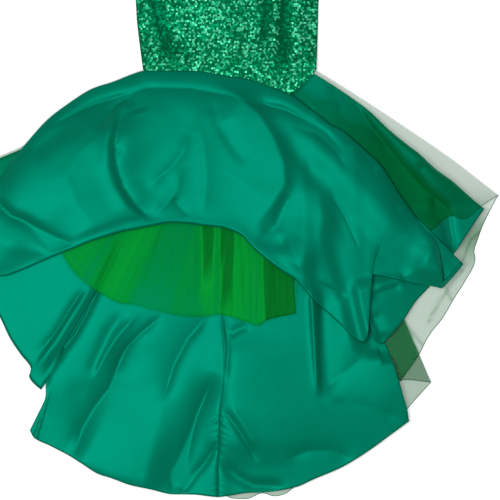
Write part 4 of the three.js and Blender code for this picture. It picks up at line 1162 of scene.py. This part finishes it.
def make_petticoat():
    back_xy = coons(NET_BACK_TOP, NET_BACK_HEM, NET_BACK_LEFT, NET_BACK_RIGHT)
    front_xy = coons(NET_FRONT_TOP, NET_FRONT_HEM, NET_FRONT_LEFT, NET_FRONT_RIGHT)

    def back_z(x, y, u, v):
        return back_height(x, y) + NET_BACK_GAP + net_gathers(u, v, 1.0)

    def front_z(x, y, u, v):
        folds = soft_max(relief(NET_CREASES, x, y), -1.3, 0.3)
        return back_height(x, y) + NET_FRONT_GAP + net_gathers(u, v, 2.3) + folds

    def back_density(u, v, x, y):
        return (0.14 + 0.05 * np.sin(math.tau * 23 * u)) * (1 - smooth(0.85, 0.95, v))

    back, front = flat_place(back_xy, back_z), flat_place(front_xy, front_z)
    one = cloth("back_net", 240, 40, back, 0.15, NET, "petticoat_back", mask=back_density)
    two = cloth("front_net", 500, 56, front, 0.15, NET, "petticoat_front", mask=net_streaks)


# -------- turned-up front
LINES = np.array(FRONT_LINES, float)


def line_at(s, column):
    """A value of the front's radial lines, smooth from one line to the next."""
    t = np.clip(s, 0, 1) * (len(LINES) - 1)
    i = np.clip(t.astype(int), 0, len(LINES) - 2)
    values = LINES[:, column]
    slope = np.gradient(values)
    return held_hermite(values[i], values[i + 1], slope[i], slope[i + 1], t - i, 0.5)


def seam_point(s):
    x = line_at(s, 0)
    return x, front_seam_y(x) - SEAM_GAP - FRONT_TUCK


def fold_point(s):
    return line_at(s, 1), line_at(s, 2)


def hem_point(s):
    return line_at(s, 4), line_at(s, 5)


def between(start, end):
    def xy(s, u):
        a, b = start(s), end(s)
        return lerp(a[0], b[0], u), lerp(a[1], b[1], u)

    return xy


def under_turn_up(x, y):
    seam = front_seam_y(x)
    on_sheath = smooth(seam - 30, seam + 6, y) * (1 - smooth(150, 158, np.abs(x)))
    low = front_low(x, y) + PLY_GAP
    return lerp(low, soft_max(low, sheath_front(x, y) + SHEATH_GAP, 1), on_sheath)


def turned_up(x, y, s, u):
    roll = 2 * line_at(s, 3)
    body = np.minimum(1, roll / 12)
    puff = body * PUFF * np.sin(math.pi * u**1.6) ** 0.75
    folds = relief(TURN_UP_CREASES, x, y) * smooth(0, 0.10, u) * (1 - 0.75 * smooth(0.88, 1, u))
    rise = (roll - PLY_GAP) * (1 - u) ** 2 + soft_max(puff + folds * body, 0, 1.5)
    return under_turn_up(x, y) + rise


def make_satin_front():
    place = folded_place(
        between(seam_point, fold_point), between(fold_point, hem_point), front_low, turned_up, 0.10, 0.09, 0.5
    )
    piece = cloth("front_satin", 300, 150, place, 0.5, SATIN, "satin_front")


make_sheath()
make_band()
make_satin_back()
make_satin_sides()
make_mesh_layers()
make_petticoat()
make_satin_front()
